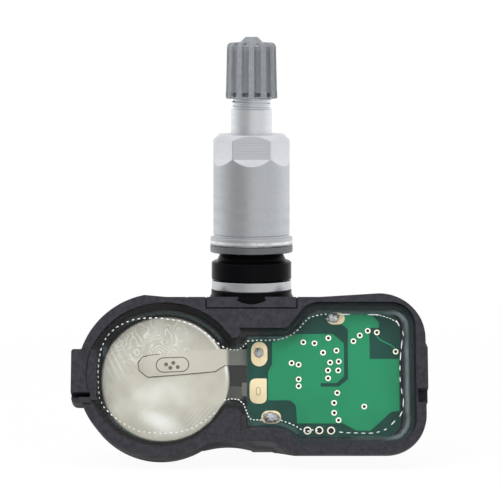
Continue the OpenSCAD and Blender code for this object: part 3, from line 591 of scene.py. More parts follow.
@dataclass(frozen=True)
class CapFinish(Finish):
    """Moulded cap with painted shade in its flutes."""

    # Colour of the painted shade in the flutes
    floor: Colour = (0.15, 0.15, 0.15)
    floor_r: Span = (4.2, 4.55)
    shoulder_z: Span = (39.2, 40.2)

    def detail(self, tree: Tree, surface: Surface) -> None:
        """Paints shade into the flutes.

        Args:
            tree: Helper for the material's nodes.
            surface: What the shader is given, which is changed.
        """
        x, y, z = tree.axes(tree.place())
        deep = tree.product(tree.fall(tree.joined(x, y), *self.floor_r), tree.fall(z, *self.shoulder_z))
        # Painted shade in the flutes, under the crown
        surface.colour = tree.mix(deep, surface.colour, self.floor)


@dataclass(frozen=True)
class StripFinish(Finish):
    """Nickel strip with painted shade where it hangs in the gel beside the cell."""

    # Colour of the painted shade on the free end
    painted_shade: Colour = (0.2, 0.2, 0.2)
    edge: Span = (-4.9, -4.0)

    def detail(self, tree: Tree, surface: Surface) -> None:
        """Paints shade on the free end.

        Args:
            tree: Helper for the material's nodes.
            surface: What the shader is given, which is changed.
        """
        across = tree.axes(tree.place())[0]
        # Painted shade on the part beside the cell
        surface.colour = tree.mix(tree.steps(across, *self.edge), surface.colour, self.painted_shade)


@dataclass(frozen=True)
class LaminateFinish(Finish):
    """Solder mask over glass cloth, whose weave shows faintly."""

    weave_mm: float = 0.9
    weave_share: float = 0.04
    weave_light: float = 1.5

    def detail(self, tree: Tree, surface: Surface) -> None:
        """Adds the weave to the colour.

        Args:
            tree: Helper for the material's nodes.
            surface: What the shader is given, which is changed.
        """
        x, _, z = tree.axes(tree.place())
        turns = 2 * math.pi / self.weave_mm
        warp, weft = (tree.math("SINE", tree.product(run, turns)) for run in (x, z))
        cloth = tree.scale(tree.product(warp, weft), 0.0, self.weave_share)
        lighter = tuple(min(1.0, channel * self.weave_light) for channel in self.base)
        surface.colour = tree.mix(cloth, surface.colour, lighter)


@dataclass(frozen=True)
class NutFinish(Finish):
    """Turned aluminium with milled flats that carry painted light, and a painted highlight line and a painted
    shade line around its flange.
    """

    # Colour of the painted light on the flats
    flat: Colour = (0.7, 0.7, 0.7)
    flat_r: Span = (7.175, 7.195)
    flat_foot: float = 18.0
    mill_pitch: float = 0.5
    mill_wander: float = 0.9
    mill_line: Span = (0.2, 1.0)
    mill_shade: float = 0.4
    mill_depth: float = 0.006
    front_edge: Span = (3.2, 3.7)
    side_share: float = 0.25
    flange_r: Span = (7.5, 7.6)
    break_scale: float = 0.7
    break_edge: Span = (0.36, 0.56)
    break_share: Span = (0.45, 0.95)
    # Heights of the painted highlight line, and of the painted shade line at the flange's foot by the washer
    bright_line: Span = (3.3, 3.85)
    dark_line: Span = (3.0, 3.25)
    line_edge: float = 0.1
    # Colours of the painted highlight line and the painted shade line
    flange_highlight: Colour = (1.0, 1.0, 1.0)
    flange_shade: Colour = (0.2, 0.2, 0.2)

    def detail(self, tree: Tree, surface: Surface) -> None:
        """Adds painted light on the flats with the mill's fine lines, and a broken painted highlight line and
        a broken painted shade line on the flange.

        Args:
            tree: Helper for the material's nodes.
            surface: What the shader is given, which is changed.
        """
        place = tree.place()
        x, y, z = tree.axes(place)
        radius = tree.joined(x, y)
        flats = tree.product(tree.fall(radius, *self.flat_r), tree.math("GREATER_THAN", z, self.flat_foot))
        turns = tree.math("DIVIDE", z, self.mill_pitch)
        turns = tree.math("ADD", turns, tree.noise_along(z, self.mill_wander, 2.0))
        lines = tree.steps(tree.math("SINE", tree.product(turns, 2 * math.pi)), *self.mill_line)
        front = tree.fall(tree.math("ABSOLUTE", x), *self.front_edge)
        lines = tree.product(lines, tree.scale(front, self.side_share, 1.0))
        shade = tree.math("SUBTRACT", 1.0, tree.product(lines, self.mill_shade))
        # The flats' lighter colour is painted light from above
        surface.colour = tree.mix(tree.product(shade, flats), surface.colour, self.flat)
        cut = tree.product(lines, flats, self.mill_depth)
        surface.height = tree.math("SUBTRACT", surface.height, cut)
        # Painted highlight and painted shade lines on the flange, broken up by noise
        line_breaks = tree.steps(tree.noise(place, self.break_scale, 1.0), *self.break_edge)
        edge = tree.product(tree.steps(radius, *self.flange_r), tree.scale(line_breaks, *self.break_share))
        for (low, high), tone in ((self.bright_line, self.flange_highlight), (self.dark_line, self.flange_shade)):
            line = tree.band(z, (low, low + self.line_edge), (high - self.line_edge, high))
            surface.colour = tree.mix(tree.product(line, edge), surface.colour, tone)


@dataclass(frozen=True)
class GelFinish:
    """Clear potting gel: it bends what the eye sees in it, and lets all other light straight through."""

    name: str
    tint: Colour
    ior: float = 1.41
    rough: float = 0.02
    ripple: float = 0.015
    ripple_scale: float = 0.16
    specular: float = 0.09
    # Colours of the painted shade on the meniscus, the painted glint line and the grey veil in the gap
    slope_shade: Colour = (0.014, 0.034, 0.034)
    slope_height: Span = (0.04, 0.3)
    slope_side: Span = (0.0, 3.0)
    slope_share: float = 0.4
    glint: Colour = (0.3, 0.4, 0.4)
    glint_rise: Span = (0.14, 0.2)
    glint_fall: Span = (0.24, 0.36)
    glint_gap_scale: float = 0.26
    glint_gaps: Span = (0.3, 0.55)
    glint_right: Span = (24.0, 28.0)
    glint_share: Span = (0.1, 0.36)
    gap_grey: Colour = (0.1, 0.1, 0.1)
    gap_left: Span = (-4.9, -4.0)
    gap_right: Span = (-0.9, -0.5)
    gap_foot: Span = (-18.4, -17.4)
    gap_top: Span = (-9.4, -8.4)
    gap_share: float = 0.3

    def veils(self, tree: Tree) -> list[tuple[Socket, Colour]]:
        """Painted veils over the clear gel: painted shade on the meniscus by the board, a painted glint along
        it, and a grey veil in the deep gap.

        Args:
            tree: Helper for the material's nodes.

        Returns:
            Share and colour of each veil.
        """
        place = tree.place_from_rim()
        side, up, out = (
            tree.vector("DOT_PRODUCT", place, tuple(axis)) for axis in (RIM_RIGHT, RIM_UP, RIM_OUT)
        )
        height = tree.math("SUBTRACT", out, GEL_TOP)
        slope_shade = tree.product(
            tree.steps(height, *self.slope_height), tree.steps(side, *self.slope_side), self.slope_share
        )
        glint = tree.product(
            tree.band(height, self.glint_rise, self.glint_fall),
            tree.steps(tree.noise(place, self.glint_gap_scale, 1.0), *self.glint_gaps),
            tree.scale(tree.steps(side, *self.glint_right), *self.glint_share),
        )
        gap = tree.product(
            tree.band(side, self.gap_left, self.gap_right), tree.band(up, self.gap_foot, self.gap_top),
            self.gap_share,
        )
        return [(slope_shade, self.slope_shade), (glint, self.glint), (gap, self.gap_grey)]

    def build(self, effects: Effects) -> bpy.types.Material:
        """Makes the material.

        Args:
            effects: The shared node groups, which clear gel needs none of.

        Returns:
            The material.
        """
        material, tree = new_material(self.name)
        ripple = tree.noise(tree.place(), self.ripple_scale, 1.0)
        bump = tree.node("ShaderNodeBump", Height=ripple, Distance=MM * self.ripple, Strength=1.0)
        shader = tree.node(
            "ShaderNodeBsdfPrincipled", Base_Color=self.tint, Normal=bump.outputs[0], Transmission_Weight=1.0,
            IOR=self.ior, Roughness=self.rough, Specular_IOR_Level=self.specular,
        )
        seen = shader.outputs[0]
        for share, colour in self.veils(tree):
            veil = tree.node("ShaderNodeBsdfDiffuse", Color=colour)
            seen = tree.node("ShaderNodeMixShader", Fac=share, in1=seen, in2=veil.outputs[0]).outputs[0]
        clear = tree.node("ShaderNodeBsdfTransparent", Color=(1.0, 1.0, 1.0))
        to_eye = tree.node("ShaderNodeLightPath").outputs["Is Camera Ray"]
        mixed = tree.node("ShaderNodeMixShader", Fac=to_eye, in1=clear.outputs[0], in2=seen)
        tree.node("ShaderNodeOutputMaterial", Surface=mixed.outputs[0])
        return material


class Workshop:
    """Builds each finish once, and gives its material by name."""

    def __init__(self) -> None:
        """Builds every finish of the sensor."""
        effects = Effects()
        self.materials = {finish.name: finish.build(effects) for finish in self.finishes()}

    def __getitem__(self, name: str) -> bpy.types.Material:
        """Material of a finish."""
        return self.materials[name]

    @staticmethod
    def finishes() -> list[Finish | GelFinish]:
        """Every finish, under the name of its material slot.

        Returns:
            The finishes.
        """
        cell_middle = HOUSING @ Vector((*CELL_CENTRE, CELL_TOP)) / MM
        return [
            HousingFinish(
                "housing_black", srgb(58, 57, 62), srgb(46, 45, 50), rough=(0.5, 0.65), specular=0.08,
                grain_mm=0.3, grain_height=0.03, patch_mm=5.0, mottle_mm=0.9, shade_below_rim=srgb(16, 16, 21),
            ),
            GelFinish("gel_clear", (0.975, 0.99, 0.975)),
            CellFinish(
                "cell_metal", srgb(207, 205, 192), srgb(190, 187, 172), rough=(0.3, 0.38), metallic=0.5,
                grain_mm=0.25, grain_height=0.001, highlight_paint=srgb(252, 252, 248), painted_shade=srgb(192, 186, 169),
                centre=tuple(cell_middle),
            ),
            StripFinish(
                "strip_metal", srgb(214, 210, 197), srgb(205, 201, 187), rough=(0.3, 0.4), metallic=0.55,
                grain_mm=0.2, grain_height=0.002, painted_shade=srgb(122, 124, 116),
            ),
            LaminateFinish(
                "board_green", srgb(12, 64, 54), srgb(8, 52, 44), rough=(0.3, 0.38), grain_mm=0.4,
                grain_height=0.0, specular=0.1,
            ),
            LaminateFinish(
                "pour_green", srgb(26, 128, 88), srgb(22, 120, 82), rough=(0.28, 0.36), grain_mm=0.4,
                grain_height=0.0, specular=0.1,
            ),
            Finish(
                "pad_gold", srgb(233, 216, 178), srgb(225, 206, 166), rough=(0.35, 0.45), metallic=0.3,
                grain_mm=0.15, grain_height=0.003,
            ),
            Finish(
                "solder", srgb(222, 223, 224), srgb(176, 178, 180), rough=(0.2, 0.34), metallic=0.9,
                mottle_mm=1.2, grain_mm=0.5, grain_height=0.02,
            ),
            Finish(
                "ring_cream", srgb(248, 244, 230), srgb(242, 238, 222), rough=(0.4, 0.5), grain_mm=0.1,
                grain_height=0.002,
            ),
            # Dark grey of thin lines; along the strip's edge it is a painted shadow
            Finish("seam_grey", srgb(92, 88, 78), srgb(78, 75, 66), rough=(0.5, 0.6), specular=0.3),
            Finish("weld_grey", srgb(112, 108, 92), srgb(92, 90, 76), rough=(0.45, 0.6), metallic=0.3),
            Finish("bore_black", srgb(14, 16, 15), srgb(10, 12, 11), rough=(0.5, 0.6), specular=0.2),
            # White beads that paint a lamp's reflection on the gel's meniscus
            Finish(
                "reflection_white", srgb(250, 250, 250), srgb(244, 246, 246), rough=(0.2, 0.3),
                grain_height=0.001,
            ),
            Finish("chip_black", srgb(42, 42, 44), srgb(36, 36, 38), rough=(0.45, 0.55), grain_height=0.006),
            Finish("seal_grey", srgb(122, 118, 110), srgb(112, 108, 100), rough=(0.6, 0.7)),
            Finish("ferrite", srgb(74, 70, 67), srgb(66, 62, 60), rough=(0.5, 0.65), grain_height=0.01),
            Finish(
                "copper_wire", srgb(196, 122, 72), srgb(178, 104, 60), rough=(0.25, 0.35), metallic=1.0,
                grain_height=0.004,
            ),
            Finish("capacitor_tan", srgb(160, 132, 98), srgb(150, 122, 88), rough=(0.4, 0.5)),
            Finish(
                "stem_aluminium", srgb(230, 233, 237), srgb(230, 233, 236), rough=(0.3, 0.38), metallic=1.0,
                grain_mm=0.2, grain_height=0.002, turning_pitch=0.1, turning_height=0.0012,
            ),
            Finish(
                "rubber_black", srgb(7, 7, 9), srgb(5, 5, 7), rough=(0.2, 0.32), grain_mm=0.6,
                grain_height=0.012, specular=0.06,
            ),
            Finish(
                "ring_aluminium", srgb(204, 206, 209), srgb(198, 200, 203), rough=(0.32, 0.4), metallic=1.0,
                grain_height=0.003, turning_pitch=0.12, turning_height=0.002,
            ),
            Finish(
                "washer_grey", srgb(134, 136, 140), srgb(124, 126, 130), rough=(0.36, 0.44), metallic=1.0,
                grain_height=0.004, turning_pitch=0.15, turning_height=0.002,
            ),
            NutFinish(
                "nut_aluminium", srgb(205, 208, 211), srgb(199, 202, 205), rough=(0.34, 0.42), metallic=1.0,
                grain_mm=0.3, grain_height=0.012, mottle_mm=0.7, turning_pitch=0.14, turning_height=0.0012,
                flat=srgb(224, 226, 231),
            ),
            Finish(
                "brass", srgb(205, 176, 104), srgb(196, 166, 94), rough=(0.25, 0.35), metallic=1.0,
                turning_pitch=0.1, turning_height=0.0015,
            ),
            Finish("spring_steel", srgb(180, 180, 176), srgb(170, 170, 166), rough=(0.22, 0.3), metallic=1.0),
            CapFinish(
                "cap_grey", srgb(134, 138, 142), srgb(122, 126, 130), rough=(0.4, 0.5), specular=0.4,
                grain_mm=0.3, grain_height=0.02, mottle_mm=0.8, floor=srgb(108, 112, 116),
            ),
        ]


# Mesh helpers


def rounded(corners: Sequence[tuple[float, float, float]], steps: int = 4) -> Profile:
    """Rounds the corners of a closed profile.

    Args:
        corners: Radius, height and rounding of each corner, in order around the profile.
        steps: Number of segments in each rounded corner.

    Returns:
        Points of the rounded profile.
    """
    points: Profile = []
    count = len(corners)
    for i, (r, z, rounding) in enumerate(corners):
        here = Vector((r, z))
        before = Vector(corners[i - 1][:2]) - here
        after = Vector(corners[(i + 1) % count][:2]) - here
        if rounding <= 0 or before.length < 1e-6 or after.length < 1e-6:
            points.append((r, z))
            continue
        half = before.angle(after) / 2
        reach = min(rounding / math.tan(half), 0.49 * before.length, 0.49 * after.length)
        start = here + before.normalized() * reach
        end = here + after.normalized() * reach
        for k in range(steps + 1):
            t = k / steps
            p = start * (1 - t) ** 2 + here * 2 * t * (1 - t) + end * t ** 2
            points.append((p.x, p.y))
    return points


def densified(profile: Profile, step: float) -> Profile:
    """Adds points to a closed profile so that no edge is longer than a step.

    Args:
        profile: Points of the profile.
        step: Longest edge.

    Returns:
        The profile with more points.
    """
    points: Profile = []
    for i, (r, z) in enumerate(profile):
        r2, z2 = profile[(i + 1) % len(profile)]
        parts = max(1, math.ceil(math.hypot(r2 - r, z2 - z) / step))
        points.extend((r + (r2 - r) * k / parts, z + (z2 - z) * k / parts) for k in range(parts))
    return points


def new_piece(
    name: str, mesh: bmesh.types.BMesh, material: bpy.types.Material, smooth: float = 35.0
) -> bpy.types.Object:
    """Makes an object from a mesh, with outward faces and smooth shading.

    Args:
        name: Name of the piece.
        mesh: The mesh, which is freed.
        material: Its material.
        smooth: Angle in degrees above which an edge stays sharp.

    Returns:
        The piece.
    """
    bmesh.ops.recalc_face_normals(mesh, faces=mesh.faces)
    data = bpy.data.meshes.new(name)
    mesh.to_mesh(data)
    mesh.free()
    data.materials.append(material)
    data.shade_smooth()
    data.set_sharp_from_angle(angle=math.radians(smooth))
    piece = bpy.data.objects.new(name, data)
    bpy.context.scene.collection.objects.link(piece)
    return piece


def revolved(
    name: str, profile: Profile, material: bpy.types.Material, segments: int = 160,
    shape: Optional[Shaper] = None,
) -> bpy.types.Object:
    """Turns a closed profile around the valve axis.

    Args:
        name: Name of the piece.
        profile: Radius and height of the profile's points, in millimetres.
        material: Its material.
        segments: Number of segments around the axis.
        shape: Gives a point's radius and height from its radius, height and angle.

    Returns:
        The piece.
    """
    mesh = bmesh.new()
    rings = []
    for r, z in profile:
        if r < 1e-6:
            rings.append([mesh.verts.new((0, 0, z * MM))] * segments)
            continue
        ring = []
        for k in range(segments):
            angle = 2 * math.pi * k / segments
            at, level = shape(r, z, angle) if shape else (r, z)
            ring.append(mesh.verts.new((at * math.cos(angle) * MM, at * math.sin(angle) * MM, level * MM)))
        rings.append(ring)
    for i, low in enumerate(rings):
        high = rings[(i + 1) % len(rings)]
        for k in range(segments):
            m = (k + 1) % segments
            corners = list(dict.fromkeys([low[k], low[m], high[m], high[k]]))
            if len(corners) > 2:
                mesh.faces.new(corners)
    return new_piece(name, mesh, material)


def seat(piece: bpy.types.Object, body: Body, slot: str, *replaced: str) -> bpy.types.Object:
    """Attaches a finished piece to its body and hides the nodes that it stands for.

    Args:
        piece: The piece.
        body: Body that it rides on.
        slot: Material slot of its finish; not used.
        *replaced: Nodes that it replaces.

    Returns:
        The piece.
    """
    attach(piece, body.value)
    if replaced:
        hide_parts(*replaced)
    LOG.info("piece %s on %s: %d faces", piece.name, body.value, len(piece.data.polygons))
    return piece


def soft_min(a: float, b: float, width: float) -> float:
    """Smaller of two numbers, with the corner between them rounded over a width."""
    h = max(width - abs(a - b), 0.0) / width
    return min(a, b) - h * h * width * 0.25


def smooth_rise(value: float, low: float, high: float) -> float:
    """Rises smoothly from 0 to 1 between two values."""
    t = min(max((value - low) / (high - low), 0.0), 1.0)
    return t * t * (3 - 2 * t)


def refined_copy(node: str, name: str, material: bpy.types.Material, bevel: float) -> bpy.types.Object:
    """Copies a node's mesh, merges it and rounds its edges.

    Args:
        node: Name of the node.
        name: Name of the new piece.
        material: Its material.
        bevel: Width of the rounded edges, in millimetres.

    Returns:
        The piece.
    """
    mesh = bmesh.new()
    mesh.from_mesh(frame["nodes"][node].data)
    bmesh.ops.remove_doubles(mesh, verts=mesh.verts, dist=MERGE * MM)
    bmesh.ops.dissolve_limit(
        mesh, angle_limit=math.radians(1.0), verts=mesh.verts, edges=mesh.edges, delimit={"NORMAL"}
    )
    piece = new_piece(name, mesh, material, smooth=180.0)
    rounding = piece.modifiers.new("rounded_edges", "BEVEL")
    rounding.width = bevel * MM
    rounding.segments = 3
    rounding.limit_method = "ANGLE"
    rounding.angle_limit = math.radians(32)
    rounding.use_clamp_overlap = True
    rounding.harden_normals = False
    even = piece.modifiers.new("even_normals", "WEIGHTED_NORMAL")
    even.keep_sharp = True
    return piece


def node_mm(node: str) -> tuple[Vector, Vector]:
    """Lowest and highest corner of a node, in millimetres."""
    low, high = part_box(node)
    return low / MM, high / MM


def plate(
    name: str, outline: Profile, low: float, high: float, material: bpy.types.Material, edge: float = 0.03
) -> bpy.types.Object:
    """Makes a flat plate in the housing, with its upper edge rounded.

    Args:
        name: Name of the piece.
        outline: Its outline, to the right and up along the rim.
        low: Depth of its underside.
        high: Depth of its face.
        material: Its material.
        edge: Rounding of the upper edge.

    Returns:
        The piece.
    """
    mesh = bmesh.new()
    base = [mesh.verts.new((u, v, low)) for u, v in outline]
    face = [mesh.verts.new((u, v, high)) for u, v in outline]
    mesh.faces.new(base)
    top = mesh.faces.new(face)
    for i in range(len(outline)):
        k = (i + 1) % len(outline)
        mesh.faces.new([base[i], base[k], face[k], face[i]])
    if edge > 0:
        bmesh.ops.bevel(mesh, geom=list(top.edges), offset=edge, segments=2, profile=0.5, affect="EDGES")
    mesh.transform(HOUSING)
    return new_piece(name, mesh, material)


def ribbon(
    name: str, path: Profile, width: float, low: float, high: float, material: bpy.types.Material,
    closed: bool = False,
) -> bpy.types.Object:
    """Makes a narrow raised line in the housing along a path, with slanting sides.

    Args:
        name: Name of the piece.
        path: The path, to the right and up along the rim.
        width: Width of the line.
        low: Depth of its underside.
        high: Depth of its face.
        material: Its material.
        closed: Whether the path returns to its start.

    Returns:
        The piece.
    """
    mesh = bmesh.new()
    count = len(path)
    section = ((1, low), (0.75, high), (-0.75, high), (-1, low))
    rows = []
    for i, (u, v) in enumerate(path):
        before = Vector(path[i - 1] if i or closed else path[i])
        after = Vector(path[(i + 1) % count] if i + 1 < count or closed else path[i])
        along = (after - before).normalized()
        side = Vector((-along.y, along.x)) * width / 2
        rows.append([mesh.verts.new((u + side.x * k, v + side.y * k, w)) for k, w in section])
    for i in range(count if closed else count - 1):
        here, there = rows[i], rows[(i + 1) % count]
        for k in range(4):
            m = (k + 1) % 4
            mesh.faces.new([here[k], here[m], there[m], there[k]])
    if not closed:
        mesh.faces.new(rows[0])
        mesh.faces.new(rows[-1])
    mesh.transform(HOUSING)
    return new_piece(name, mesh, material)


def stadium(
    centre: tuple[float, float], width: float, height: float, turn: float = 0.0, steps: int = 12
) -> Profile:
    """Outline of a rectangle with half round ends.

    Args:
        centre: Its middle.
        width: Its width.
        height: Its height.
        turn: Its turn, in degrees.
        steps: Number of segments in each half circle.

    Returns:
        Points of the outline.
    """
    r = min(width, height) / 2
    reach = Vector((width / 2 - r, height / 2 - r))
    start = -90 if width >= height else 0
    cos, sin = math.cos(math.radians(turn)), math.sin(math.radians(turn))
    points: Profile = []
    for side, half_turn in ((1, 0), (-1, 180)):
        for k in range(steps + 1):
            angle = math.radians(start + 180 * k / steps + half_turn)
            x = side * reach.x + r * math.cos(angle)
            y = side * reach.y + r * math.sin(angle)
            points.append((centre[0] + x * cos - y * sin, centre[1] + x * sin + y * cos))
    return points


def carrier_mesh(
    name: str, points: Sequence[tuple[float, float, float]], linked: bool = False
) -> bpy.types.Mesh:
    """Makes the loose points or the line that a Geometry Nodes tree grows on.

    Args:
        name: Name of the mesh.
        points: Places in the housing's axes.
        linked: Whether the points are joined into a line.

    Returns:
        The mesh.
    """
    data = bpy.data.meshes.new(name)
    edges = [(i, i + 1) for i in range(len(points) - 1)] if linked else []
    data.from_pydata([HOUSING @ Vector(point) for point in points], edges, [])
    return data


# Geometry Nodes trees


def growing_group(
    name: str, sizes: Sequence[str], on_mesh: bool = True, seeded: bool = False
) -> tuple[bpy.types.NodeTree, Tree, bpy.types.Node]:
    """Starts a Geometry Nodes tree with named inputs.

    Args:
        name: Name of the tree.
        sizes: Names of its sizes.
        on_mesh: Whether it grows on a mesh that it is given.
        seeded: Whether it takes a seed.

    Returns:
        The tree, a helper for it, and its input node.
    """
    group = bpy.data.node_groups.new(name, "GeometryNodeTree")
    kinds = [("Geometry", "NodeSocketGeometry")] if on_mesh else []
    kinds += [(size, FLOAT) for size in sizes]
    kinds += [("Seed", "NodeSocketInt")] if seeded else []
    for label, kind in kinds:
        group.interface.new_socket(name=label, in_out="INPUT", socket_type=kind)
    group.interface.new_socket(name="Geometry", in_out="OUTPUT", socket_type="NodeSocketGeometry")
    tree = Tree(group)
    return group, tree, tree.node("NodeGroupInput")


def finish_group(tree: Tree, made: Socket, material: bpy.types.Material) -> None:
    """Ends a Geometry Nodes tree: its instances are made real and take their material."""
    real = tree.node("GeometryNodeRealizeInstances", Geometry=made)
    dressed = tree.node("GeometryNodeSetMaterial", Geometry=real.outputs[0], Material=material)
    tree.node("NodeGroupOutput", Geometry=dressed.outputs[0])


def grown(
    name: str, group: bpy.types.NodeTree, sizes: dict[str, object], material: bpy.types.Material,
    lift: float = 0.0, base: Optional[bpy.types.Mesh] = None, smooth: float = 35.0,
) -> bpy.types.Object:
    """Runs a Geometry Nodes tree and keeps its result as a plain mesh.

    Args:
        name: Name of the piece.
        group: The tree.
        sizes: Value of each named input.
        material: Material of the piece.
        lift: Height in millimetres at which the result is placed.
        base: Mesh that the tree grows on, where it needs one.
        smooth: Angle in degrees above which an edge stays sharp.

    Returns:
        The piece.
    """
    carrier = bpy.data.objects.new(name + "_carrier", base or bpy.data.meshes.new(name + "_carrier"))
    bpy.context.scene.collection.objects.link(carrier)
    modifier = carrier.modifiers.new("grow", "NODES")
    modifier.node_group = group
    for item in group.interface.items_tree:
        if item.item_type == "SOCKET" and item.in_out == "INPUT" and item.name in sizes:
            modifier[item.identifier] = sizes[item.name]
    bpy.context.view_layer.update()
    evaluated = carrier.evaluated_get(bpy.context.evaluated_depsgraph_get())
    data = bpy.data.meshes.new_from_object(evaluated)
    bpy.data.objects.remove(carrier)
    mesh = bmesh.new()
    mesh.from_mesh(data)
    bpy.data.meshes.remove(data)
    bmesh.ops.remove_doubles(mesh, verts=mesh.verts, dist=0.001 * MM)
    mesh.transform(Matrix.Translation((0, 0, lift * MM)))
    return new_piece(name, mesh, material, smooth)


def bead_tree(material: bpy.types.Material) -> bpy.types.NodeTree:
    """Geometry Nodes tree that lays uneven flat beads along a line, in the plane of the rim.

    Args:
        material: Material of the beads.

    Returns:
        The tree.
    """
    sizes = ("Pitch", "Bead length", "Bead width", "Bead height", "Least share")
    group, tree, given = growing_group("bead_row", sizes, seeded=True)
    line = tree.node("GeometryNodeMeshToCurve", Mesh=given.outputs["Geometry"])
    even = tree.node(
        "GeometryNodeResampleCurve", {"mode": "LENGTH"}, Curve=line.outputs[0], Length=given.outputs["Pitch"]
    )
    facing = tree.node("FunctionNodeAlignRotationToVector", {"axis": "Z"}, Vector=tuple(RIM_OUT))
    along = tree.node("GeometryNodeInputTangent")
    turned = tree.node(
        "FunctionNodeAlignRotationToVector", {"axis": "X", "pivot_axis": "Z"}, Rotation=facing.outputs[0],
        Vector=along.outputs[0],
    )
    share = tree.node("FunctionNodeRandomValue", {"data_type": "FLOAT"})
    tree.feed(share.inputs[2], given.outputs["Least share"])
    tree.feed(share.inputs[3], 1.0)
    tree.feed(share.inputs["Seed"], given.outputs["Seed"])
    length, width, height = (
        tree.math("MULTIPLY", given.outputs[f"Bead {side}"], 0.5) for side in ("length", "width", "height")
    )
    length = tree.math("MULTIPLY", length, share.outputs[1])
    size = tree.node("ShaderNodeCombineXYZ", X=length, Y=width, Z=height)
    bead = tree.node("GeometryNodeMeshUVSphere", Segments=12, Rings=6, Radius=1.0)
    laid = tree.node(
        "GeometryNodeInstanceOnPoints", Points=even.outputs[0], Instance=bead.outputs["Mesh"],
        Rotation=turned.outputs[0], Scale=size.outputs[0],
    )
    finish_group(tree, laid.outputs[0], material)
    return group


def disc_tree(material: bpy.types.Material, open_middle: bool) -> bpy.types.NodeTree:
    """Geometry Nodes tree that sets a ring or a plug on each point, square to the rim.

    Args:
        material: Material of the pieces.
        open_middle: Whether each piece is a ring.

    Returns:
        The tree.
    """
    name = "rings_on_points" if open_middle else "plugs_on_points"
    group, tree, given = growing_group(name, ("Outer diameter", "Inner diameter", "Thickness"))
    outer, inner = given.outputs["Outer diameter"], given.outputs["Inner diameter"]
    if open_middle:
        middle = tree.math("MULTIPLY", tree.math("ADD", outer, inner), 0.25)
        band = tree.math("MULTIPLY", tree.math("SUBTRACT", outer, inner), 0.5)
        circle = tree.node("GeometryNodeCurvePrimitiveCircle", Resolution=28, Radius=middle)
        upright = tree.node("GeometryNodeSetCurveNormal", {"mode": "Z_UP"}, Curve=circle.outputs[0])
        section = tree.node(
            "GeometryNodeCurvePrimitiveQuadrilateral", {"mode": "RECTANGLE"}, Width=band,
            Height=given.outputs["Thickness"],
        )
        shape = tree.node(
            "GeometryNodeCurveToMesh", Curve=upright.outputs[0], Profile_Curve=section.outputs[0]
        )
        solid = shape.outputs[0]
    else:
        shape = tree.node(
            "GeometryNodeMeshCylinder", Vertices=24, Radius=tree.math("MULTIPLY", inner, 0.5),
            Depth=given.outputs["Thickness"],
        )
        solid = shape.outputs["Mesh"]
    facing = tree.node("FunctionNodeAlignRotationToVector", {"axis": "Z"}, Vector=tuple(RIM_OUT))
    laid = tree.node(
        "GeometryNodeInstanceOnPoints", Points=given.outputs["Geometry"], Instance=solid,
        Rotation=facing.outputs[0],
    )
    finish_group(tree, laid.outputs[0], material)
    return group


# Sub-assemblies


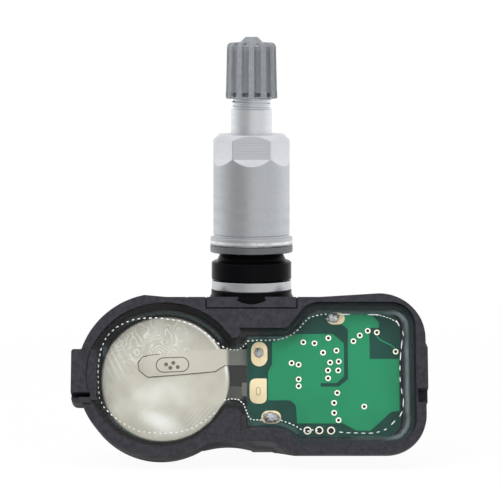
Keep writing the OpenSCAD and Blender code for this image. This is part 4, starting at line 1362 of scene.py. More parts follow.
@dataclass
class ValveStack:
    """The turned pieces on the valve axis: stem, grommet, rings and nut."""

    shop: Workshop
    barrel_r: float = 7.2
    groove_depth: float = 0.16
    groove_height: float = 0.35
    hex_af: float = 12.5
    hex_height: float = 4.5
    hex_runout: float = 1.35
    hex_edge: float = 0.07
    nut_step: float = 0.14
    nut_segments: int = 480
    chamfer: float = 1.1
    foot_gap: float = 0.03
    flange_height: float = 1.65
    bore_d: float = 7.8
    mouth_d: float = 10.0
    mouth_depth: float = 1.2
    lead_in: float = 8.0
    thread_pitch: float = 0.794
    thread_depth: float = 0.3
    thread_half_width: float = 0.36
    cap_thread_d: float = 7.4
    cap_thread_len: float = 10.8
    nut_thread: tuple[float, float] = (3.2, 13.2)
    shaft_r: float = 3.85
    stem_foot_r: float = 5.3
    stem_foot_height: float = 1.8
    stem_segments: int = 128
    air_r: float = 1.6
    core_bore_r: float = 2.65
    core_bore_depth: float = 11.4
    grommet_bore_r: float = 3.87
    neck_r: float = 5.85
    ring_bore_r: float = 3.95
    collar_r: float = 7.6
    collar_inner_r: float = 6.9
    collar_foot: float = -8.5

    def build(self) -> None:
        """Makes every piece of the stack."""
        self.nut()
        self.washer()
        self.grommet()
        self.ring()
        self.collar()
        self.stem()

    def nut(self) -> None:
        """Sleeve nut: a barrel on a flange, with a hexagon that runs out into it."""
        low, high = node_mm("valve_nut")
        flange_r, barrel_r, bore_r = high.x, self.barrel_r, self.bore_d / 2
        top, foot = high.z, low.z + self.foot_gap
        shoulder = low.z + self.flange_height
        mouth_foot = top - self.mouth_depth
        groove_r = barrel_r - self.groove_depth
        corners = [
            (bore_r, foot, 0.1), (flange_r, foot, 0.25), (flange_r, shoulder, 0.22),
            (groove_r, shoulder, 0.05), (groove_r, shoulder + self.groove_height, 0.05),
            (barrel_r, shoulder + self.groove_height + 0.15, 0.1), (barrel_r, top - self.chamfer, 0.12),
            (barrel_r - self.chamfer, top, 0.1), (self.mouth_d / 2, top, 0.08),
            (bore_r + 0.45, mouth_foot, 0.1), (bore_r + 0.25, mouth_foot - self.lead_in, 0.0),
            (bore_r, mouth_foot - self.lead_in - 1, 0.0),
        ]
        deep = barrel_r - self.hex_af / 2
        flat_foot = top - self.hex_height
        # The plain barrel and the bore need no points between their ends
        plain = (shoulder + 0.7, flat_foot - self.hex_runout * 1.5)
        bored = (foot + 0.5, mouth_foot - 1)
        profile = [
            (r, z) for r, z in densified(rounded(corners), self.nut_step)
            if not (r > barrel_r - 0.01 and plain[0] < z < plain[1])
            and not (r < bore_r + 0.3 and bored[0] < z < bored[1])
        ]

        def shape(r: float, z: float, angle: float) -> tuple[float, float]:
            """Cuts the flats out of the outside.

            Args:
                r: Radius on the plain profile.
                z: Height.
                angle: Angle around the axis.

            Returns:
                Radius and height.
            """
            if r < self.hex_af / 2 - 0.2 or z < flat_foot - self.hex_runout * 1.4:
                return r, z
            side = math.radians(60)
            around = (angle + math.pi / 2 + side / 2) % side - side / 2
            plane = self.hex_af / 2 + max(0.0, flat_foot - z) * deep / self.hex_runout
            return soft_min(r, plane / math.cos(around), self.hex_edge), z

        piece = revolved("nut_body", profile, self.shop["nut_aluminium"], self.nut_segments, shape)
        seat(piece, Body.NUT, "nut_aluminium", "valve_nut")

    def washer(self) -> None:
        """Stamped washer under the nut."""
        low, high = node_mm("nut_washer")
        inner = self.bore_d / 2
        corners = [
            (inner, low.z, 0.1), (high.x, low.z, 0.3), (high.x, high.z, 0.12), (inner, high.z, 0.1),
        ]
        piece = revolved("washer_under_nut", rounded(corners), self.shop["washer_grey"])
        seat(piece, Body.NUT_LIFT, "washer_grey", "nut_washer")

    def grommet(self) -> None:
        """Rubber grommet: a shoulder with a flared neck."""
        low, high = node_mm("grommet")
        r, inner, neck = high.x, self.grommet_bore_r, self.neck_r
        corners = [
            (inner, low.z, 0.0), (r - 0.25, low.z, 0.15), (r, low.z + 0.35, 0.2), (r, -0.35, 0.3),
            (r - 0.5, -0.02, 0.2), (neck + 0.77, 0.0, 0.15), (neck + 0.57, 0.25, 0.2), (neck, high.z, 0.08),
            (inner, high.z, 0.0),
        ]
        piece = revolved("rim_grommet", rounded(corners), self.shop["rubber_black"])
        seat(piece, Body.SENSOR, "rubber_black", "grommet")

    def ring(self) -> None:
        """Plain ring between the grommet and the boss."""
        low, high = node_mm("plain_ring")
        inner = self.ring_bore_r
        corners = [
            (inner, low.z, 0.0), (high.x, low.z, 0.18), (high.x, high.z, 0.18), (inner, high.z, 0.0),
        ]
        piece = revolved("ring_under_grommet", rounded(corners), self.shop["ring_aluminium"])
        seat(piece, Body.SENSOR, "ring_aluminium", "plain_ring")

    def collar(self) -> None:
        """Dark skirt around the boss, which flares where the boss meets the housing."""
        low, _ = node_mm("plain_ring")
        r, inner, foot = self.collar_r, self.collar_inner_r, self.collar_foot
        corners = [
            (inner, low.z - 0.02, 0.0), (r, low.z - 0.02, 0.15), (r, -6.35, 0.5), (r + 0.3, -6.95, 0.2),
            (r + 0.12, -7.45, 0.4), (r - 0.1, foot, 0.0), (inner, foot, 0.0),
        ]
        piece = revolved("boss_collar", rounded(corners), self.shop["rubber_black"])
        seat(piece, Body.SENSOR, "rubber_black")

    def stem(self) -> None:
        """Stem with its foot, its air passage and the threads for the nut and the cap."""
        low, high = node_mm("valve_stem")
        shaft_r, foot_r, air_r, mouth_r = self.shaft_r, self.stem_foot_r, self.air_r, self.core_bore_r
        foot_top = low.z + self.stem_foot_height
        root_r = self.cap_thread_d / 2 - self.thread_depth
        thread_z = high.z - self.cap_thread_len
        nut_low, nut_high = self.nut_thread
        nut_root = shaft_r - self.thread_depth
        corners = [
            (air_r, low.z, 0.1), (foot_r, low.z, 0.2), (foot_r, foot_top, 0.15), (shaft_r, foot_top, 0.2),
            (shaft_r, nut_low - 0.4, 0.05), (nut_root, nut_low - 0.2, 0.05), (nut_root, nut_high + 0.2, 0.05),
            (shaft_r, nut_high + 0.4, 0.05), (shaft_r, thread_z - 0.12, 0.2), (root_r + 0.16, thread_z, 0.1),
            (root_r, thread_z + 0.15, 0.05), (root_r, high.z - 0.45, 0.05), (root_r - 0.25, high.z, 0.1),
            (mouth_r, high.z, 0.1), (mouth_r, high.z - self.core_bore_depth, 0.0),
            (air_r, high.z - self.core_bore_depth - 0.7, 0.0),
        ]
        piece = revolved("stem_body", rounded(corners), self.shop["stem_aluminium"], self.stem_segments)
        seat(piece, Body.SENSOR, "stem_aluminium", "valve_stem")
        cap_thread = self.thread("cap_thread", thread_z + 0.1, high.z - 0.3, root_r)
        seat(cap_thread, Body.SENSOR, "stem_aluminium")
        nut_thread = self.thread("nut_thread", nut_low, nut_high, nut_root)
        seat(nut_thread, Body.SENSOR, "stem_aluminium")

    def thread(self, name: str, low: float, high: float, root_r: float) -> bpy.types.Object:
        """Sweeps a thread around the stem with Geometry Nodes.

        Args:
            name: Name of the piece.
            low: Height of the thread's start.
            high: Height of its end.
            root_r: Radius of the thread's root.

        Returns:
            The thread as a plain mesh.
        """
        material = self.shop["stem_aluminium"]
        group, tree, given = growing_group(
            name, ("Height", "Turns", "Root radius", "Depth", "Half width"), on_mesh=False
        )
        radius = given.outputs["Root radius"]
        helix = tree.node(
            "GeometryNodeCurveSpiral", Resolution=48, Rotations=given.outputs["Turns"],
            Start_Radius=radius, End_Radius=radius, Height=given.outputs["Height"],
        )
        upright = tree.node("GeometryNodeSetCurveNormal", {"mode": "Z_UP"}, Curve=helix.outputs[0])
        half = given.outputs["Half width"]
        depth = given.outputs["Depth"]
        section = tree.node("GeometryNodeCurvePrimitiveQuadrilateral", {"mode": "POINTS"})
        places = [
            (tree.math("MULTIPLY", depth, 0.15), tree.math("MULTIPLY", half, -1.0)),
            (tree.math("MULTIPLY", depth, -1.0), tree.math("MULTIPLY", half, -0.16)),
            (tree.math("MULTIPLY", depth, -1.0), tree.math("MULTIPLY", half, 0.16)),
            (tree.math("MULTIPLY", depth, 0.15), half),
        ]
        for k, (x, y) in enumerate(places, start=1):
            point = tree.node("ShaderNodeCombineXYZ", X=x, Y=y)
            tree.feed(section.inputs[f"Point {k}"], point.outputs[0])
        swept = tree.node(
            "GeometryNodeCurveToMesh", Curve=upright.outputs[0], Profile_Curve=section.outputs[0],
            Fill_Caps=True,
        )
        finish_group(tree, swept.outputs[0], material)
        sizes = {
            "Height": (high - low) * MM, "Turns": (high - low) / self.thread_pitch,
            "Root radius": root_r * MM, "Depth": self.thread_depth * MM,
            "Half width": self.thread_half_width * MM,
        }
        return grown(name, group, sizes, material, lift=low)


@dataclass
class ValveCap:
    """Fluted plastic cap."""

    shop: Workshop
    rim_height: float = 1.1
    step: float = 0.15
    segments: int = 360
    flutes: int = 12
    flute_depth: float = 0.5
    flute_flank: Span = (0.2, 0.31)
    flute_rise: float = 0.12
    notch_foot: float = 0.3
    notch_height: float = 0.85
    notch_depth: float = 0.45
    notch_flank: Span = (0.2, 0.27)
    notch_rise: float = 0.1
    notch_fall: float = 0.15
    crown_height: float = 1.1
    crown_bend: Span = (-0.9, -0.1)
    crown_fade: Span = (1.9, 3.2)
    crown_share: float = 0.7
    bore_r: float = 3.725
    bore_top: float = 40.12

    def build(self) -> None:
        """Makes the cap."""
        low, high = node_mm("valve_cap")
        base_r = high.x
        rim_top = low.z + self.rim_height
        shoulder = high.z - self.crown_height
        corners = [
            (self.bore_r + 0.45, low.z, 0.15), (base_r, low.z, 0.2), (base_r, rim_top, 0.12),
            (base_r - 0.05, rim_top + 0.05, 0.0), (base_r - 0.25, shoulder, 1.0),
            (2.1, shoulder + 0.12, 0.25), (1.15, high.z, 0.25), (0.0, high.z, 0.0),
            (0.0, self.bore_top, 0.0), (self.bore_r, self.bore_top, 0.0), (self.bore_r, low.z + 0.5, 0.1),
        ]
        profile = densified(rounded(corners, 8), self.step)
        foot = low.z + self.notch_foot
        top = foot + self.notch_height
        pitch = 2 * math.pi / self.flutes
        bend_low, bend_high = (shoulder + level for level in self.crown_bend)

        def shape(r: float, z: float, angle: float) -> tuple[float, float]:
            """Cuts the flutes and their notches out of the outside.

            Args:
                r: Radius on the plain profile.
                z: Height on it.
                angle: Angle around the axis.

            Returns:
                Radius and height.
            """
            if (r < self.bore_r + 0.2 and z < self.bore_top + 0.1) or z < foot - 0.05:
                return r, z
            around = abs((angle + math.pi / 2) % pitch / pitch - 0.5)
            groove = 1 - smooth_rise(around, *self.flute_flank)
            groove *= smooth_rise(z, foot, foot + self.flute_rise)
            notch = 1 - smooth_rise(around, *self.notch_flank)
            notch *= smooth_rise(z, foot, foot + self.notch_rise)
            notch *= 1 - smooth_rise(z, top - self.notch_fall, top)
            over = smooth_rise(z, bend_low, bend_high)
            cut = self.flute_depth * groove * smooth_rise(r, *self.crown_fade)
            return r - cut * (1 - self.crown_share * over) - self.notch_depth * notch, z - cut * over

        piece = revolved("cap_body", profile, self.shop["cap_grey"], self.segments, shape)
        seat(piece, Body.CAP, "cap_grey", "valve_cap")


@dataclass
class Housing:
    """Moulded housing with its pockets, boss and lugs."""

    shop: Workshop
    edge: float = 0.28

    def build(self) -> None:
        """Makes the housing from its solid, with rounded edges."""
        piece = refined_copy("housing", "housing_shell", self.shop["housing_black"], self.edge)
        seat(piece, Body.SENSOR, "housing_black", "housing")


@dataclass(frozen=True)
class GlintRow:
    """One row of white beads that paint a lamp's reflection on the meniscus: its path, the distance between
    two, their size, their evenness and their seed.
    """

    name: str
    path: Profile
    pitch: float
    length: float
    width: float
    least: float
    seed: int
    lift: float = 0.05
    height: float = 0.12


@dataclass
class Gel:
    """Clear gel that fills the housing and climbs its wall in a soft meniscus."""

    shop: Workshop
    foot: float = -4.1
    climb: float = 0.9
    reach: float = 1.0
    spacing: float = 0.5
    overlap: float = 0.1
    smoothing: int = 12
    rings: tuple[float, ...] = (0.15, 0.35, 0.6, 0.9, 1.25, 1.65, 2.1, 2.6)
    ring_share: float = 0.93
    grid_gap: float = 0.3
    wall_step: float = 0.4
    least_step: float = 0.12
    flatness: float = 0.01

    def build(self) -> None:
        """Makes the gel and the rows of white beads along its meniscus, a painted reflection of a lamp."""
        self.body()
        self.bubbles()

    def outline(self) -> np.ndarray:
        """Outline of the gel's surface, from the node's upper face.

        Returns:
            Points in order, to the right and up along the rim.
        """
        mesh = bmesh.new()
        mesh.from_mesh(frame["nodes"]["potting_gel"].data)
        bmesh.ops.remove_doubles(mesh, verts=mesh.verts, dist=MERGE * MM)
        mesh.transform(HOUSING.inverted())
        surface = {
            face for face in mesh.faces if all(abs(v.co.z - GEL_TOP) < self.flatness for v in face.verts)
        }
        ahead: dict[int, list[int]] = {}
        for edge in mesh.edges:
            if sum(face in surface for face in edge.link_faces) == 1:
                a, b = (vert.index for vert in edge.verts)
                ahead.setdefault(a, []).append(b)
                ahead.setdefault(b, []).append(a)
        mesh.verts.ensure_lookup_table()
        start = min(ahead, key=lambda index: tuple(mesh.verts[index].co))
        loop = [start, ahead[start][0]]
        while loop[-1] != start:
            loop.append(next(index for index in ahead[loop[-1]] if index != loop[-2]))
        points = [tuple(mesh.verts[index].co.xy) for index in loop[:-1]]
        mesh.free()
        kept = [points[0]]
        for point in points[1:]:
            if math.dist(point, kept[-1]) > self.least_step:
                kept.append(point)
        dense = np.array(densified(kept, self.wall_step))
        following = np.roll(dense, -1, axis=0)
        twice_area = np.sum(dense[:, 0] * following[:, 1] - following[:, 0] * dense[:, 1])
        return dense if twice_area > 0 else dense[::-1]

    @staticmethod
    def distances(points: np.ndarray, loop: np.ndarray) -> np.ndarray:
        """Distance of each point to a closed line.

        Args:
            points: The points.
            loop: The line.

        Returns:
            The distances.
        """
        ends = np.roll(loop, -1, axis=0)
        along = ends - loop
        length = np.maximum((along ** 2).sum(axis=1), 1e-12)
        best = np.full(len(points), np.inf)
        for a, d, size in zip(loop, along, length):
            rel = points - a
            t = np.clip(rel @ d / size, 0, 1)
            best = np.minimum(best, np.hypot(*(rel - t[:, None] * d).T))
        return best

    @staticmethod
    def inward(loop: np.ndarray) -> np.ndarray:
        """Direction into the outline at each of its points."""
        along = np.roll(loop, -1, axis=0) - np.roll(loop, 1, axis=0)
        along /= np.maximum(np.hypot(*along.T), 1e-9)[:, None]
        return np.column_stack((-along[:, 1], along[:, 0]))

    def body(self) -> None:
        """Gel itself: its surface on a fine mesh, and its sides sunk into the wall."""
        wall = self.outline()
        side = self.inward(wall)
        points = [wall - side * self.overlap]
        for ring in self.rings:
            moved = wall + side * ring
            points.append(moved[self.distances(moved, wall) > self.ring_share * ring])
        columns, rows = (
            np.arange(low, high, self.spacing) for low, high in zip(wall.min(axis=0), wall.max(axis=0))
        )
        grid = np.array([(u, v) for u in columns for v in rows])
        points.append(grid[self.distances(grid, wall) > self.rings[-1] + self.grid_gap])
        count = len(wall)
        flat = [Vector(point) for group in points for point in group]
        edges = [(i, (i + 1) % count) for i in range(count)]
        verts, _, faces, *_ = delaunay_2d_cdt(flat, edges, [list(range(count))], 1, 1e-5)
        places = np.array([tuple(vert) for vert in verts])
        away = np.maximum(self.distances(places, points[0]) - self.overlap, 0)
        rise = self.climb * np.exp(-away / self.reach)
        pairs = np.array([(face[k - 1], face[k]) for face in faces for k in range(len(face))])
        ends = np.concatenate((pairs, pairs[:, ::-1]))
        around = np.maximum(np.bincount(ends[:, 0], minlength=len(places)), 1)
        inner = away > 1e-6
        for _ in range(self.smoothing):
            mean = np.bincount(ends[:, 0], rise[ends[:, 1]], minlength=len(places)) / around
            rise = np.where(inner, 0.5 * (rise + mean), rise)
        mesh = bmesh.new()
        top = [mesh.verts.new((u, v, GEL_TOP + up)) for (u, v), up in zip(places, rise)]
        for face in faces:
            mesh.faces.new([top[i] for i in face])
        border = [edge for edge in mesh.edges if edge.is_boundary]
        sunk = bmesh.ops.extrude_edge_only(mesh, edges=border)
        for item in sunk["geom"]:
            if isinstance(item, bmesh.types.BMVert):
                item.co.z = self.foot
        bmesh.ops.holes_fill(mesh, edges=[edge for edge in mesh.edges if edge.is_boundary])
        mesh.transform(HOUSING)
        piece = new_piece("gel_body", mesh, self.shop["gel_clear"], smooth=60.0)
        seat(piece, Body.SENSOR, "gel_clear", "potting_gel")

    def bubbles(self) -> None:
        """Rows of tiny flat white beads just inside the meniscus: a painted reflection of a lamp."""
        material = self.shop["reflection_white"]
        # Each row paints the reflection of a lamp along the meniscus
        for row in self.rows():
            tree = bead_tree(material)
            base = carrier_mesh(row.name, [(u, v, GEL_TOP + row.lift) for u, v in row.path], linked=True)
            sizes = {
                "Pitch": row.pitch * MM, "Bead length": row.length * MM, "Bead width": row.width * MM,
                "Bead height": row.height * MM, "Least share": row.least, "Seed": row.seed,
            }
            seat(grown(row.name, tree, sizes, material, base=base, smooth=180.0), Body.SENSOR, "gel_clear")

    @staticmethod
    def rows() -> list[GlintRow]:
        """Every row of painted reflection beads: name, path, pitch, length, width, least share of the length,
        and seed.

        Returns:
            The rows.
        """
        upper = [
            (-28.72, -12.84), (-28.58, -10.55), (-28.2, -8.65), (-27.15, -6.08), (-25.45, -4.36),
            (-23.57, -3.32), (-21.88, -2.74), (-20.28, -2.54), (-17.46, -2.48), (-14.17, -2.92),
            (-12.1, -3.4), (-10.4, -4.16), (-8.7, -5.3), (-7.2, -6.63), (-5.32, -8.05),
        ]
        lower = [
            (-28.72, -12.84), (-28.6, -15.72), (-28.35, -17.84), (-27.6, -19.38), (-26.27, -20.84),
            (-24.38, -22.28), (-22.5, -23.43), (-20.62, -24.2), (-16.87, -24.58), (-13.87, -24.39),
            (-11.25, -23.72), (-8.8, -22.28), (-6.9, -20.76),
        ]
        waist = [(-4.55, -8.35), (-3.6, -8.62), (-2.6, -8.6), (-1.75, -8.2), (-1.2, -7.6), (-0.65, -6.95)]
        bend = [
            (-0.6, -6.92), (1.2, -6.8), (3.6, -6.78), (5.3, -6.6), (6.7, -6.15), (7.8, -5.5), (8.9, -4.6),
            (9.8, -3.4), (10.9, -2.4), (12.8, -1.85), (13.9, -1.76),
        ]
        top = [(17.3, -1.8), (19.5, -1.78), (22.9, -1.85)]
        corner = [(23.6, -1.95), (24.7, -2.15), (26.0, -2.6), (27.1, -3.2)]
        right = [
            (27.4, -3.5), (28.05, -4.3), (28.4, -5.6), (28.1, -7.3), (27.85, -9.5), (27.7, -12.0),
            (27.7, -14.5), (28.0, -16.8), (28.25, -18.8), (28.1, -20.2), (27.55, -21.3), (26.3, -22.5),
        ]
        low = [(16.6, -24.3), (18.0, -24.42), (21.5, -24.5), (23.0, -24.45), (24.8, -23.8)]
        left_bend = [
            (-4.9, -18.2), (-3.6, -18.0), (-2.5, -18.1), (-1.5, -18.9), (-1.0, -20.2), (-0.5, -21.5),
            (0.0, -21.95), (1.7, -22.0),
        ]
        left_low = [
            (5.6, -22.1), (7.0, -22.6), (8.3, -23.2), (9.3, -23.85), (10.3, -24.2), (11.3, -23.85),
            (12.1, -23.95),
        ]
        return [
            GlintRow("bubbles_round_top", upper, 1.06, 0.66, 0.25, 0.75, 3),
            GlintRow("bubbles_round_low", lower, 0.98, 0.58, 0.24, 0.5, 4),
            GlintRow("bubbles_waist", waist, 0.62, 0.32, 0.2, 0.8, 5),
            GlintRow("bubbles_bend", bend, 0.78, 0.5, 0.22, 0.55, 6),
            GlintRow("bubbles_top", top, 2.9, 2.7, 0.19, 0.8, 7),
            GlintRow("bubbles_corner", corner, 0.62, 0.42, 0.2, 0.6, 8),
            GlintRow("bubbles_right", right, 2.2, 1.9, 0.19, 0.5, 9),
            GlintRow("bubbles_low", low, 1.3, 1.0, 0.18, 0.5, 10),
            GlintRow("bubbles_left_bend", left_bend, 0.62, 0.42, 0.24, 0.7, 11),
            GlintRow("bubbles_left_low", left_low, 0.75, 0.55, 0.24, 0.6, 12),
        ]


@dataclass
class Cell:
    """Coin cell with the strip that is welded to its can."""

    shop: Workshop
    height: float = 5.0
    segments: int = 180
    strip_top: float = -4.85
    strip_sunk: float = 0.02
    strip_edge: float = 0.04
    strip_end: float = -3.7
    edge_line: float = 0.17
    line_lift: float = 0.015
    weld_centre: tuple[float, float] = (-14.8, -11.0)
    oval_size: tuple[float, float] = (6.1, 2.75)
    oval_turn: float = 2.0
    oval_line: float = 0.24
    oval_lift: float = 0.02
    weld_d: float = 0.74
    weld_height: float = 0.06
    weld_points: tuple[tuple[float, float], ...] = (
        (-16.0, -10.95), (-14.65, -10.65), (-15.2, -11.6), (-13.8, -11.45),
    )

    def build(self) -> None:
        """Makes the cell, its strips and its welds."""
        self.can()
        self.strip()
        self.lower_strip()
        self.oval()
        self.welds()

    def can(self) -> None:
        """Can with a softly rounded edge."""
        r, top = CELL_RADIUS, self.height
        corners = [
            (0.0, 0.0, 0.0), (r - 1.6, 0.0, 0.1), (r - 1.3, 0.45, 0.2), (r - 0.2, 0.45, 0.3), (r, 1.3, 0.3),
            (r, top, 0.5), (r - 1.4, top, 0.0), (0.0, top, 0.0),
        ]
        piece = revolved("cell_can", rounded(corners, 8), self.shop["cell_metal"], self.segments)
        place = Matrix.Translation((*CELL_CENTRE, CELL_TOP - top))
        piece.data.transform(HOUSING @ place @ Matrix.Scale(1 / MM, 4))
        seat(piece, Body.SENSOR, "cell_metal", "coin_cell")

    def strip(self) -> None:
        """Strip on the can, with a thin dark line of shadow around it."""
        u, v = CELL_CENTRE
        face = [
            (u - 2.9, v + 4.65, 1.2), (u + 4.8, v + 5.4, 0.0), (u + 10.4, v + 5.85, 0.0),
            (0.9, v + 5.9, 0.0), (0.9, v + 2.72, 0.0), (u + 11.5, v + 2.7, 0.2), (u + 10.8, v + 2.35, 0.2),
            (u + 9.5, v + 1.5, 0.6), (u + 4.8, v + 1.05, 0.0), (u - 3.1, v + 0.4, 0.4),
            (u - 4.75, v + 1.7, 0.6), (u - 4.95, v + 3.3, 1.2),
        ]
        metal, sunk = self.shop["strip_metal"], CELL_TOP - self.strip_sunk
        piece = plate("strip_on_cell", rounded(face, 3), sunk, self.strip_top, metal, self.strip_edge)
        seat(piece, Body.SENSOR, "strip_metal", "positive_strip")
        lower = [(x, y) for x, y, _ in face[5:]]
        lower += [(u - 4.2, v + 4.3), (u - 2.9, v + 4.6), (u - 1.0, v + 4.82)]
        line_top = self.strip_top + self.line_lift
        # A painted shadow: the dark line along the strip's lower edge
        line = ribbon("strip_edge_line", lower, self.edge_line, CELL_TOP, line_top, self.shop["seam_grey"])
        seat(line, Body.SENSOR, "strip_metal")

    def lower_strip(self) -> None:
        """Strip from under the can, whose end stays under the pad it is soldered to."""
        mesh = bmesh.new()
        mesh.from_mesh(frame["nodes"]["negative_strip"].data)
        mesh.transform(HOUSING.inverted())
        for vert in mesh.verts:
            vert.co.z = min(vert.co.z, self.strip_end)
        mesh.transform(HOUSING)
        piece = new_piece("strip_under_board", mesh, self.shop["strip_metal"])
        seat(piece, Body.SENSOR, "strip_metal", "negative_strip")

    def oval(self) -> None:
        """Long oval that is pressed into the strip around its welds."""
        path = stadium(self.weld_centre, *self.oval_size, self.oval_turn)
        top = self.strip_top + self.oval_lift
        line = ribbon("weld_oval", path, self.oval_line, CELL_TOP, top, self.shop["seam_grey"], closed=True)
        seat(line, Body.SENSOR, "strip_metal")

    def welds(self) -> None:
        """Four matt weld spots."""
        base = carrier_mesh("weld_points", [(u, v, self.strip_top) for u, v in self.weld_points])
        tree = disc_tree(self.shop["weld_grey"], False)
        sizes = {"Inner diameter": self.weld_d * MM, "Thickness": self.weld_height * MM}
        seat(grown("weld_spots", tree, sizes, self.shop["weld_grey"], base=base), Body.SENSOR, "strip_metal")


@dataclass(frozen=True)
class Heap:
    """One heap of solder: its place, its half width and half height, how high it is, and its lumps' seed."""

    place: tuple[float, float]
    radii: tuple[float, float]
    height: float
    seed: float
    coarse: tuple[float, float] = (1.7, 0.2)
    fine: tuple[float, float] = (4.6, 0.22)
    foot: float = 0.1

    def add_to(self, mesh: bmesh.types.BMesh) -> None:
        """Adds the heap to a mesh.

        Args:
            mesh: The mesh, in the housing's axes.
        """
        ball = bmesh.ops.create_icosphere(mesh, subdivisions=4, radius=1.0)
        for vert in ball["verts"]:
            p = vert.co.copy()
            coarse = self.coarse[1] * noise.noise(p * self.coarse[0] + Vector((self.seed, 0, 0)))
            fine = self.fine[1] * noise.noise(p * self.fine[0] + Vector((0, self.seed, 0)))
            lump = 1 + coarse + fine
            across, up = (at + r * k * lump for at, r, k in zip(self.place, self.radii, p.xy))
            level = self.height * p.z * lump if p.z > 0 else self.foot * p.z
            vert.co = Vector((across, up, PAD_TOP + level))


@dataclass
class Board:
    """What shows on the circuit board: rings, pads, joints and the fine trace."""

    shop: Workshop
    via_outer: float = 1.06
    via_inner: float = 0.6
    test_outer: float = 1.5
    test_inner: float = 1.05
    bore_drop: float = 0.02
    slot_size: tuple[float, float] = (0.72, 1.5)
    slot_line: float = 0.1
    slot_lift: float = 0.02
    trace_width: float = 0.26
    vias: Profile = field(default_factory=lambda: [
        (9.7, -6.9), (11.8, -7.1), (14.4, -6.1), (13.4, -8.9), (15.9, -8.5), (14.7, -10.8), (16.3, -10.6),
        (14.3, -12.3), (16.2, -12.3), (14.3, -13.8), (7.5, -10.9), (8.8, -11.2), (8.8, -14.0), (8.8, -15.3),
        (16.0, -16.6), (15.4, -18.5), (15.4, -20.4), (16.2, -21.8), (19.1, -6.7), (20.3, -5.6), (21.8, -4.7),
        (23.5, -5.0), (27.0, -8.7), (21.0, -19.2),
    ])
    tests: Profile = field(default_factory=lambda: [(10.4, -23.8), (12.6, -23.75), (14.8, -23.8)])

    def build(self) -> None:
        """Makes every piece."""
        self.rings()
        self.pads()
        self.joints()
        self.trace()

    def rings(self) -> None:
        """Bright ring of each via and test pad, with painted shade in its bore: a black plug."""
        cream, black = self.shop["ring_cream"], self.shop["bore_black"]
        ring, plug = disc_tree(cream, True), disc_tree(black, False)
        thick = PAD_TOP - BOARD_TOP
        for name, points, outer, inner, replaced in (
            ("via", self.vias, self.via_outer, self.via_inner, ("via_rings",)),
            ("test", self.tests, self.test_outer, self.test_inner, ()),
        ):
            middle = [(u, v, (PAD_TOP + BOARD_TOP) / 2) for u, v in points]
            sizes = {"Outer diameter": outer * MM, "Inner diameter": inner * MM, "Thickness": thick * MM}
            made = grown(name + "_ring_set", ring, sizes, cream, base=carrier_mesh(name + "_points", middle))
            seat(made, Body.SENSOR, "pad_gold", *replaced)
            # The black plugs are painted shade where each hole is
            sizes["Thickness"] = (thick - self.bore_drop) * MM
            base = carrier_mesh(name + "_bore_points", middle)
            made = grown(name + "_bores", plug, sizes, black, base=base)
            seat(made, Body.SENSOR, "board_green")

    def pads(self) -> None:
        """Bare pads: two beside the cell and one around each end of the antenna."""
        low_pad = [(-0.35, -13.85, 1.3), (2.85, -13.85, 0.25), (2.85, -18.65, 1.3), (-0.35, -18.65, 1.5)]
        for name, outline, replaced in (
            ("pad_upper", stadium((1.45, -9.15), 3.05, 4.75), ("solder_pads",)),
            ("pad_lower", rounded(low_pad, 8), ()),
            ("pad_antenna_low", stadium((3.65, -21.3), 3.7, 2.6), ()),
            ("pad_antenna_top", stadium((15.8, -2.25), 3.4, 2.4), ()),
        ):
            piece = plate(name, outline, BOARD_TOP - SUNK, PAD_TOP, self.shop["pad_gold"])
            seat(piece, Body.SENSOR, "pad_gold", *replaced)
        path = stadium((1.25, -16.3), *self.slot_size)
        low, high = PAD_TOP - SUNK, PAD_TOP + self.slot_lift
        oval = ribbon("pad_slot_line", path, self.slot_line, low, high, self.shop["seam_grey"], closed=True)
        seat(oval, Body.SENSOR, "pad_gold")

    def joints(self) -> None:
        """Lumpy heaps of solder where the strip and the antenna end."""
        mesh = bmesh.new()
        for heap in (
            Heap((1.35, -8.95), (0.86, 0.95), 0.5, 1.0), Heap((3.7, -21.35), (1.5, 1.02), 0.75, 2.0),
            Heap((15.25, -2.1), (1.25, 1.05), 0.8, 5.0),
        ):
            heap.add_to(mesh)
        mesh.transform(HOUSING)
        piece = new_piece("solder_heaps", mesh, self.shop["solder"], smooth=180.0)
        seat(piece, Body.SENSOR, "solder", "solder_joints")

    def trace(self) -> None:
        """Fine copper line between two vias on the right."""
        path = [(23.5, -5.45), (23.6, -5.9), (24.3, -6.55), (25.95, -7.35), (26.5, -7.7), (26.85, -8.25)]
        low = BOARD_TOP - SUNK
        line = ribbon("board_trace", path, self.trace_width, low, POUR_TOP, self.shop["pour_green"])
        seat(line, Body.SENSOR, "pour_green")


@dataclass
class Carried:
    """The nodes whose solids are right as they are, which only take their finish."""

    shop: Workshop

    def build(self) -> None:
        """Gives each shown node the material of its slot."""
        slots = {part["node"]: part["material_slot"] for part in frame["record"]["subparts"]}
        for name, piece in frame["nodes"].items():
            if piece.hide_render:
                continue
            piece.data.materials.clear()
            piece.data.materials.append(self.shop[slots[name]])
            LOG.info("node %s takes %s", name, slots[name])


def seen_rays(tree: Tree) -> Socket:
    """Mask that is 1 for rays that show a surface to the eye, straight, mirrored or through glass."""
    ray = tree.node("ShaderNodeLightPath")
    mirrored = tree.math("MAXIMUM", ray.outputs["Is Glossy Ray"], ray.outputs["Is Transmission Ray"])
    return tree.math("MAXIMUM", ray.outputs["Is Camera Ray"], mirrored)


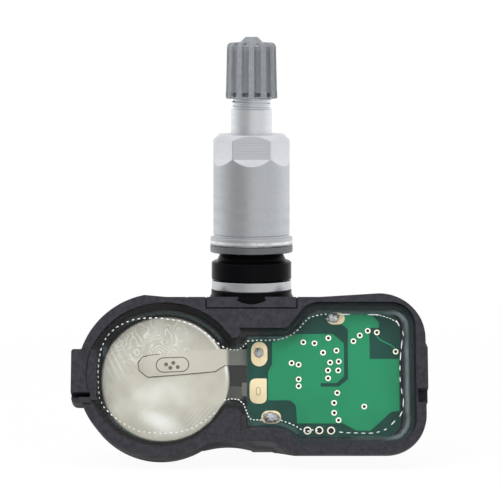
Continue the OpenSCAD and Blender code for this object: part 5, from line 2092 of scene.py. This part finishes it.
@dataclass(frozen=True)
class Lamp:
    """Soft rectangular lamp: its name, place, width and height, and its power in watts."""

    name: str
    place: tuple[float, float, float]
    size: tuple[float, float]
    power: float

    def hang(self) -> None:
        """Hangs the lamp so that it points at the sensor and no mirror shows it."""
        data = bpy.data.lights.new(self.name, "AREA")
        data.shape = "RECTANGLE"
        data.size, data.size_y = self.size[0] * MM, self.size[1] * MM
        data.energy = self.power
        lamp = bpy.data.objects.new(self.name, data)
        bpy.context.scene.collection.objects.link(lamp)
        lamp.location = Vector(self.place) * MM
        lamp.rotation_mode = "QUATERNION"
        lamp.rotation_quaternion = (-lamp.location).to_track_quat("-Z", "Y")
        lamp.visible_glossy = False


@dataclass
class Studio:
    """Camera, floor and soft light."""

    lens: float = 218.5
    distance: float = 574.0
    elevation: float = 5.0
    target: Vector = field(default_factory=lambda: Vector((-0.28, 0.0, 1.9)))
    near: float = 50.0
    far: float = 20000.0
    floor_z: float = -37.45
    floor_half: float = 4000.0
    floor_paint: float = 0.95
    floor_glow: float = 0.95
    glow_edge: Span = (60.0, 300.0)
    front_level: float = 0.44
    side_level: float = 0.3
    around_level: float = 0.3
    back_edge: Span = (-0.7, 0.7)
    above_edge: Span = (0.35, 0.9)
    side_edge: Span = (-0.42, 0.1)
    lamps: tuple[Lamp, ...] = (
        Lamp("key", (-300, -330, 330), (240, 320), 1.75),
        Lamp("fill", (380, -300, 160), (200, 320), 0.8),
        Lamp("top", (0, -160, 480), (420, 240), 1.3),
    )

    def build(self) -> None:
        """Sets up the view."""
        self.camera()
        self.floor()
        self.world()
        for lamp in self.lamps:
            lamp.hang()
        bpy.context.scene.view_settings.view_transform = "Standard"

    def camera(self) -> None:
        """Places the camera at the photograph's viewing angle."""
        data = bpy.data.cameras.new("camera")
        data.lens = self.lens
        data.clip_start, data.clip_end = self.near * MM, self.far * MM
        camera = bpy.data.objects.new("camera", data)
        bpy.context.scene.collection.objects.link(camera)
        tilt = math.radians(self.elevation)
        back = Vector((0, -math.cos(tilt), math.sin(tilt)))
        camera.location = (self.target + back * self.distance) * MM
        camera.rotation_mode = "QUATERNION"
        camera.rotation_quaternion = (-back).to_track_quat("-Z", "Y")
        bpy.context.scene.camera = camera

    def floor(self) -> None:
        """Lays a wide white floor that keeps the sensor's shadow."""
        mesh = bmesh.new()
        half = self.floor_half
        corners = [(-half, -half), (half, -half), (half, half), (-half, half)]
        mesh.faces.new([mesh.verts.new((x * MM, y * MM, self.floor_z * MM)) for x, y in corners])
        material, tree = new_material("white_floor")
        paint = tree.node("ShaderNodeBsdfDiffuse", Color=(self.floor_paint,) * 3)
        place = tree.place()
        mirrored = self.mirrored_level(tree, tree.vector("NORMALIZE", place))
        level = tree.scale(tree.node("ShaderNodeLightPath").outputs["Is Glossy Ray"], 1.0, mirrored)
        glow = tree.node("ShaderNodeEmission", Color=(1.0, 1.0, 1.0), Strength=level)
        share = tree.steps(tree.vector("LENGTH", place), *self.glow_edge)
        share = tree.product(seen_rays(tree), tree.scale(share, self.floor_glow, 1.0))
        mixed = tree.node("ShaderNodeMixShader", Fac=share, in1=paint.outputs[0], in2=glow.outputs[0])
        tree.node("ShaderNodeOutputMaterial", Surface=mixed.outputs[0])
        data = bpy.data.meshes.new("floor")
        mesh.to_mesh(data)
        mesh.free()
        data.materials.append(material)
        floor = bpy.data.objects.new("floor", data)
        bpy.context.scene.collection.objects.link(floor)

    def world(self) -> None:
        """White surroundings to the eye and to mirrors, darker in front, where the photographer stands."""
        world = bpy.data.worlds.new("studio")
        bpy.context.scene.world = world
        world.use_nodes = True
        world.node_tree.nodes.clear()
        tree = Tree(world.node_tree)
        ray = tree.node("ShaderNodeLightPath")
        way = tree.node("ShaderNodeTexCoord").outputs["Generated"]
        mirrored = tree.product(ray.outputs["Is Glossy Ray"], self.mirrored_level(tree, way))
        plain = tree.math("MAXIMUM", ray.outputs["Is Camera Ray"], ray.outputs["Is Transmission Ray"])
        around = tree.scale(ray.outputs["Is Glossy Ray"], self.around_level, 0.0)
        level = tree.math("MAXIMUM", tree.math("MAXIMUM", mirrored, plain), around)
        sky = tree.node("ShaderNodeBackground", Color=(1.0, 1.0, 1.0), Strength=level)
        tree.node("ShaderNodeOutputWorld", Surface=sky.outputs[0])

    def mirrored_level(self, tree: Tree, way: Socket) -> Socket:
        """Brightness of what a mirror shows: white behind and above, and darker in front, most at its left.

        Args:
            tree: Helper for the nodes.
            way: Direction from the sensor.

        Returns:
            The brightness.
        """
        x, y, z = tree.axes(way)
        white = tree.math("MAXIMUM", tree.steps(y, *self.back_edge), tree.steps(z, *self.above_edge))
        right = tree.scale(tree.steps(x, *self.side_edge), 0.0, self.side_level)
        return tree.scale(white, tree.math("ADD", right, self.front_level), 1.0)


def main() -> None:
    """Builds the visual model piece by piece."""
    logging.basicConfig(level=logging.INFO, format="%(name)s: %(message)s")
    shop = Workshop()
    Studio().build()
    Housing(shop).build()
    Gel(shop).build()
    Cell(shop).build()
    Board(shop).build()
    ValveStack(shop).build()
    ValveCap(shop).build()
    Carried(shop).build()


if __name__ == "__main__":
    main()
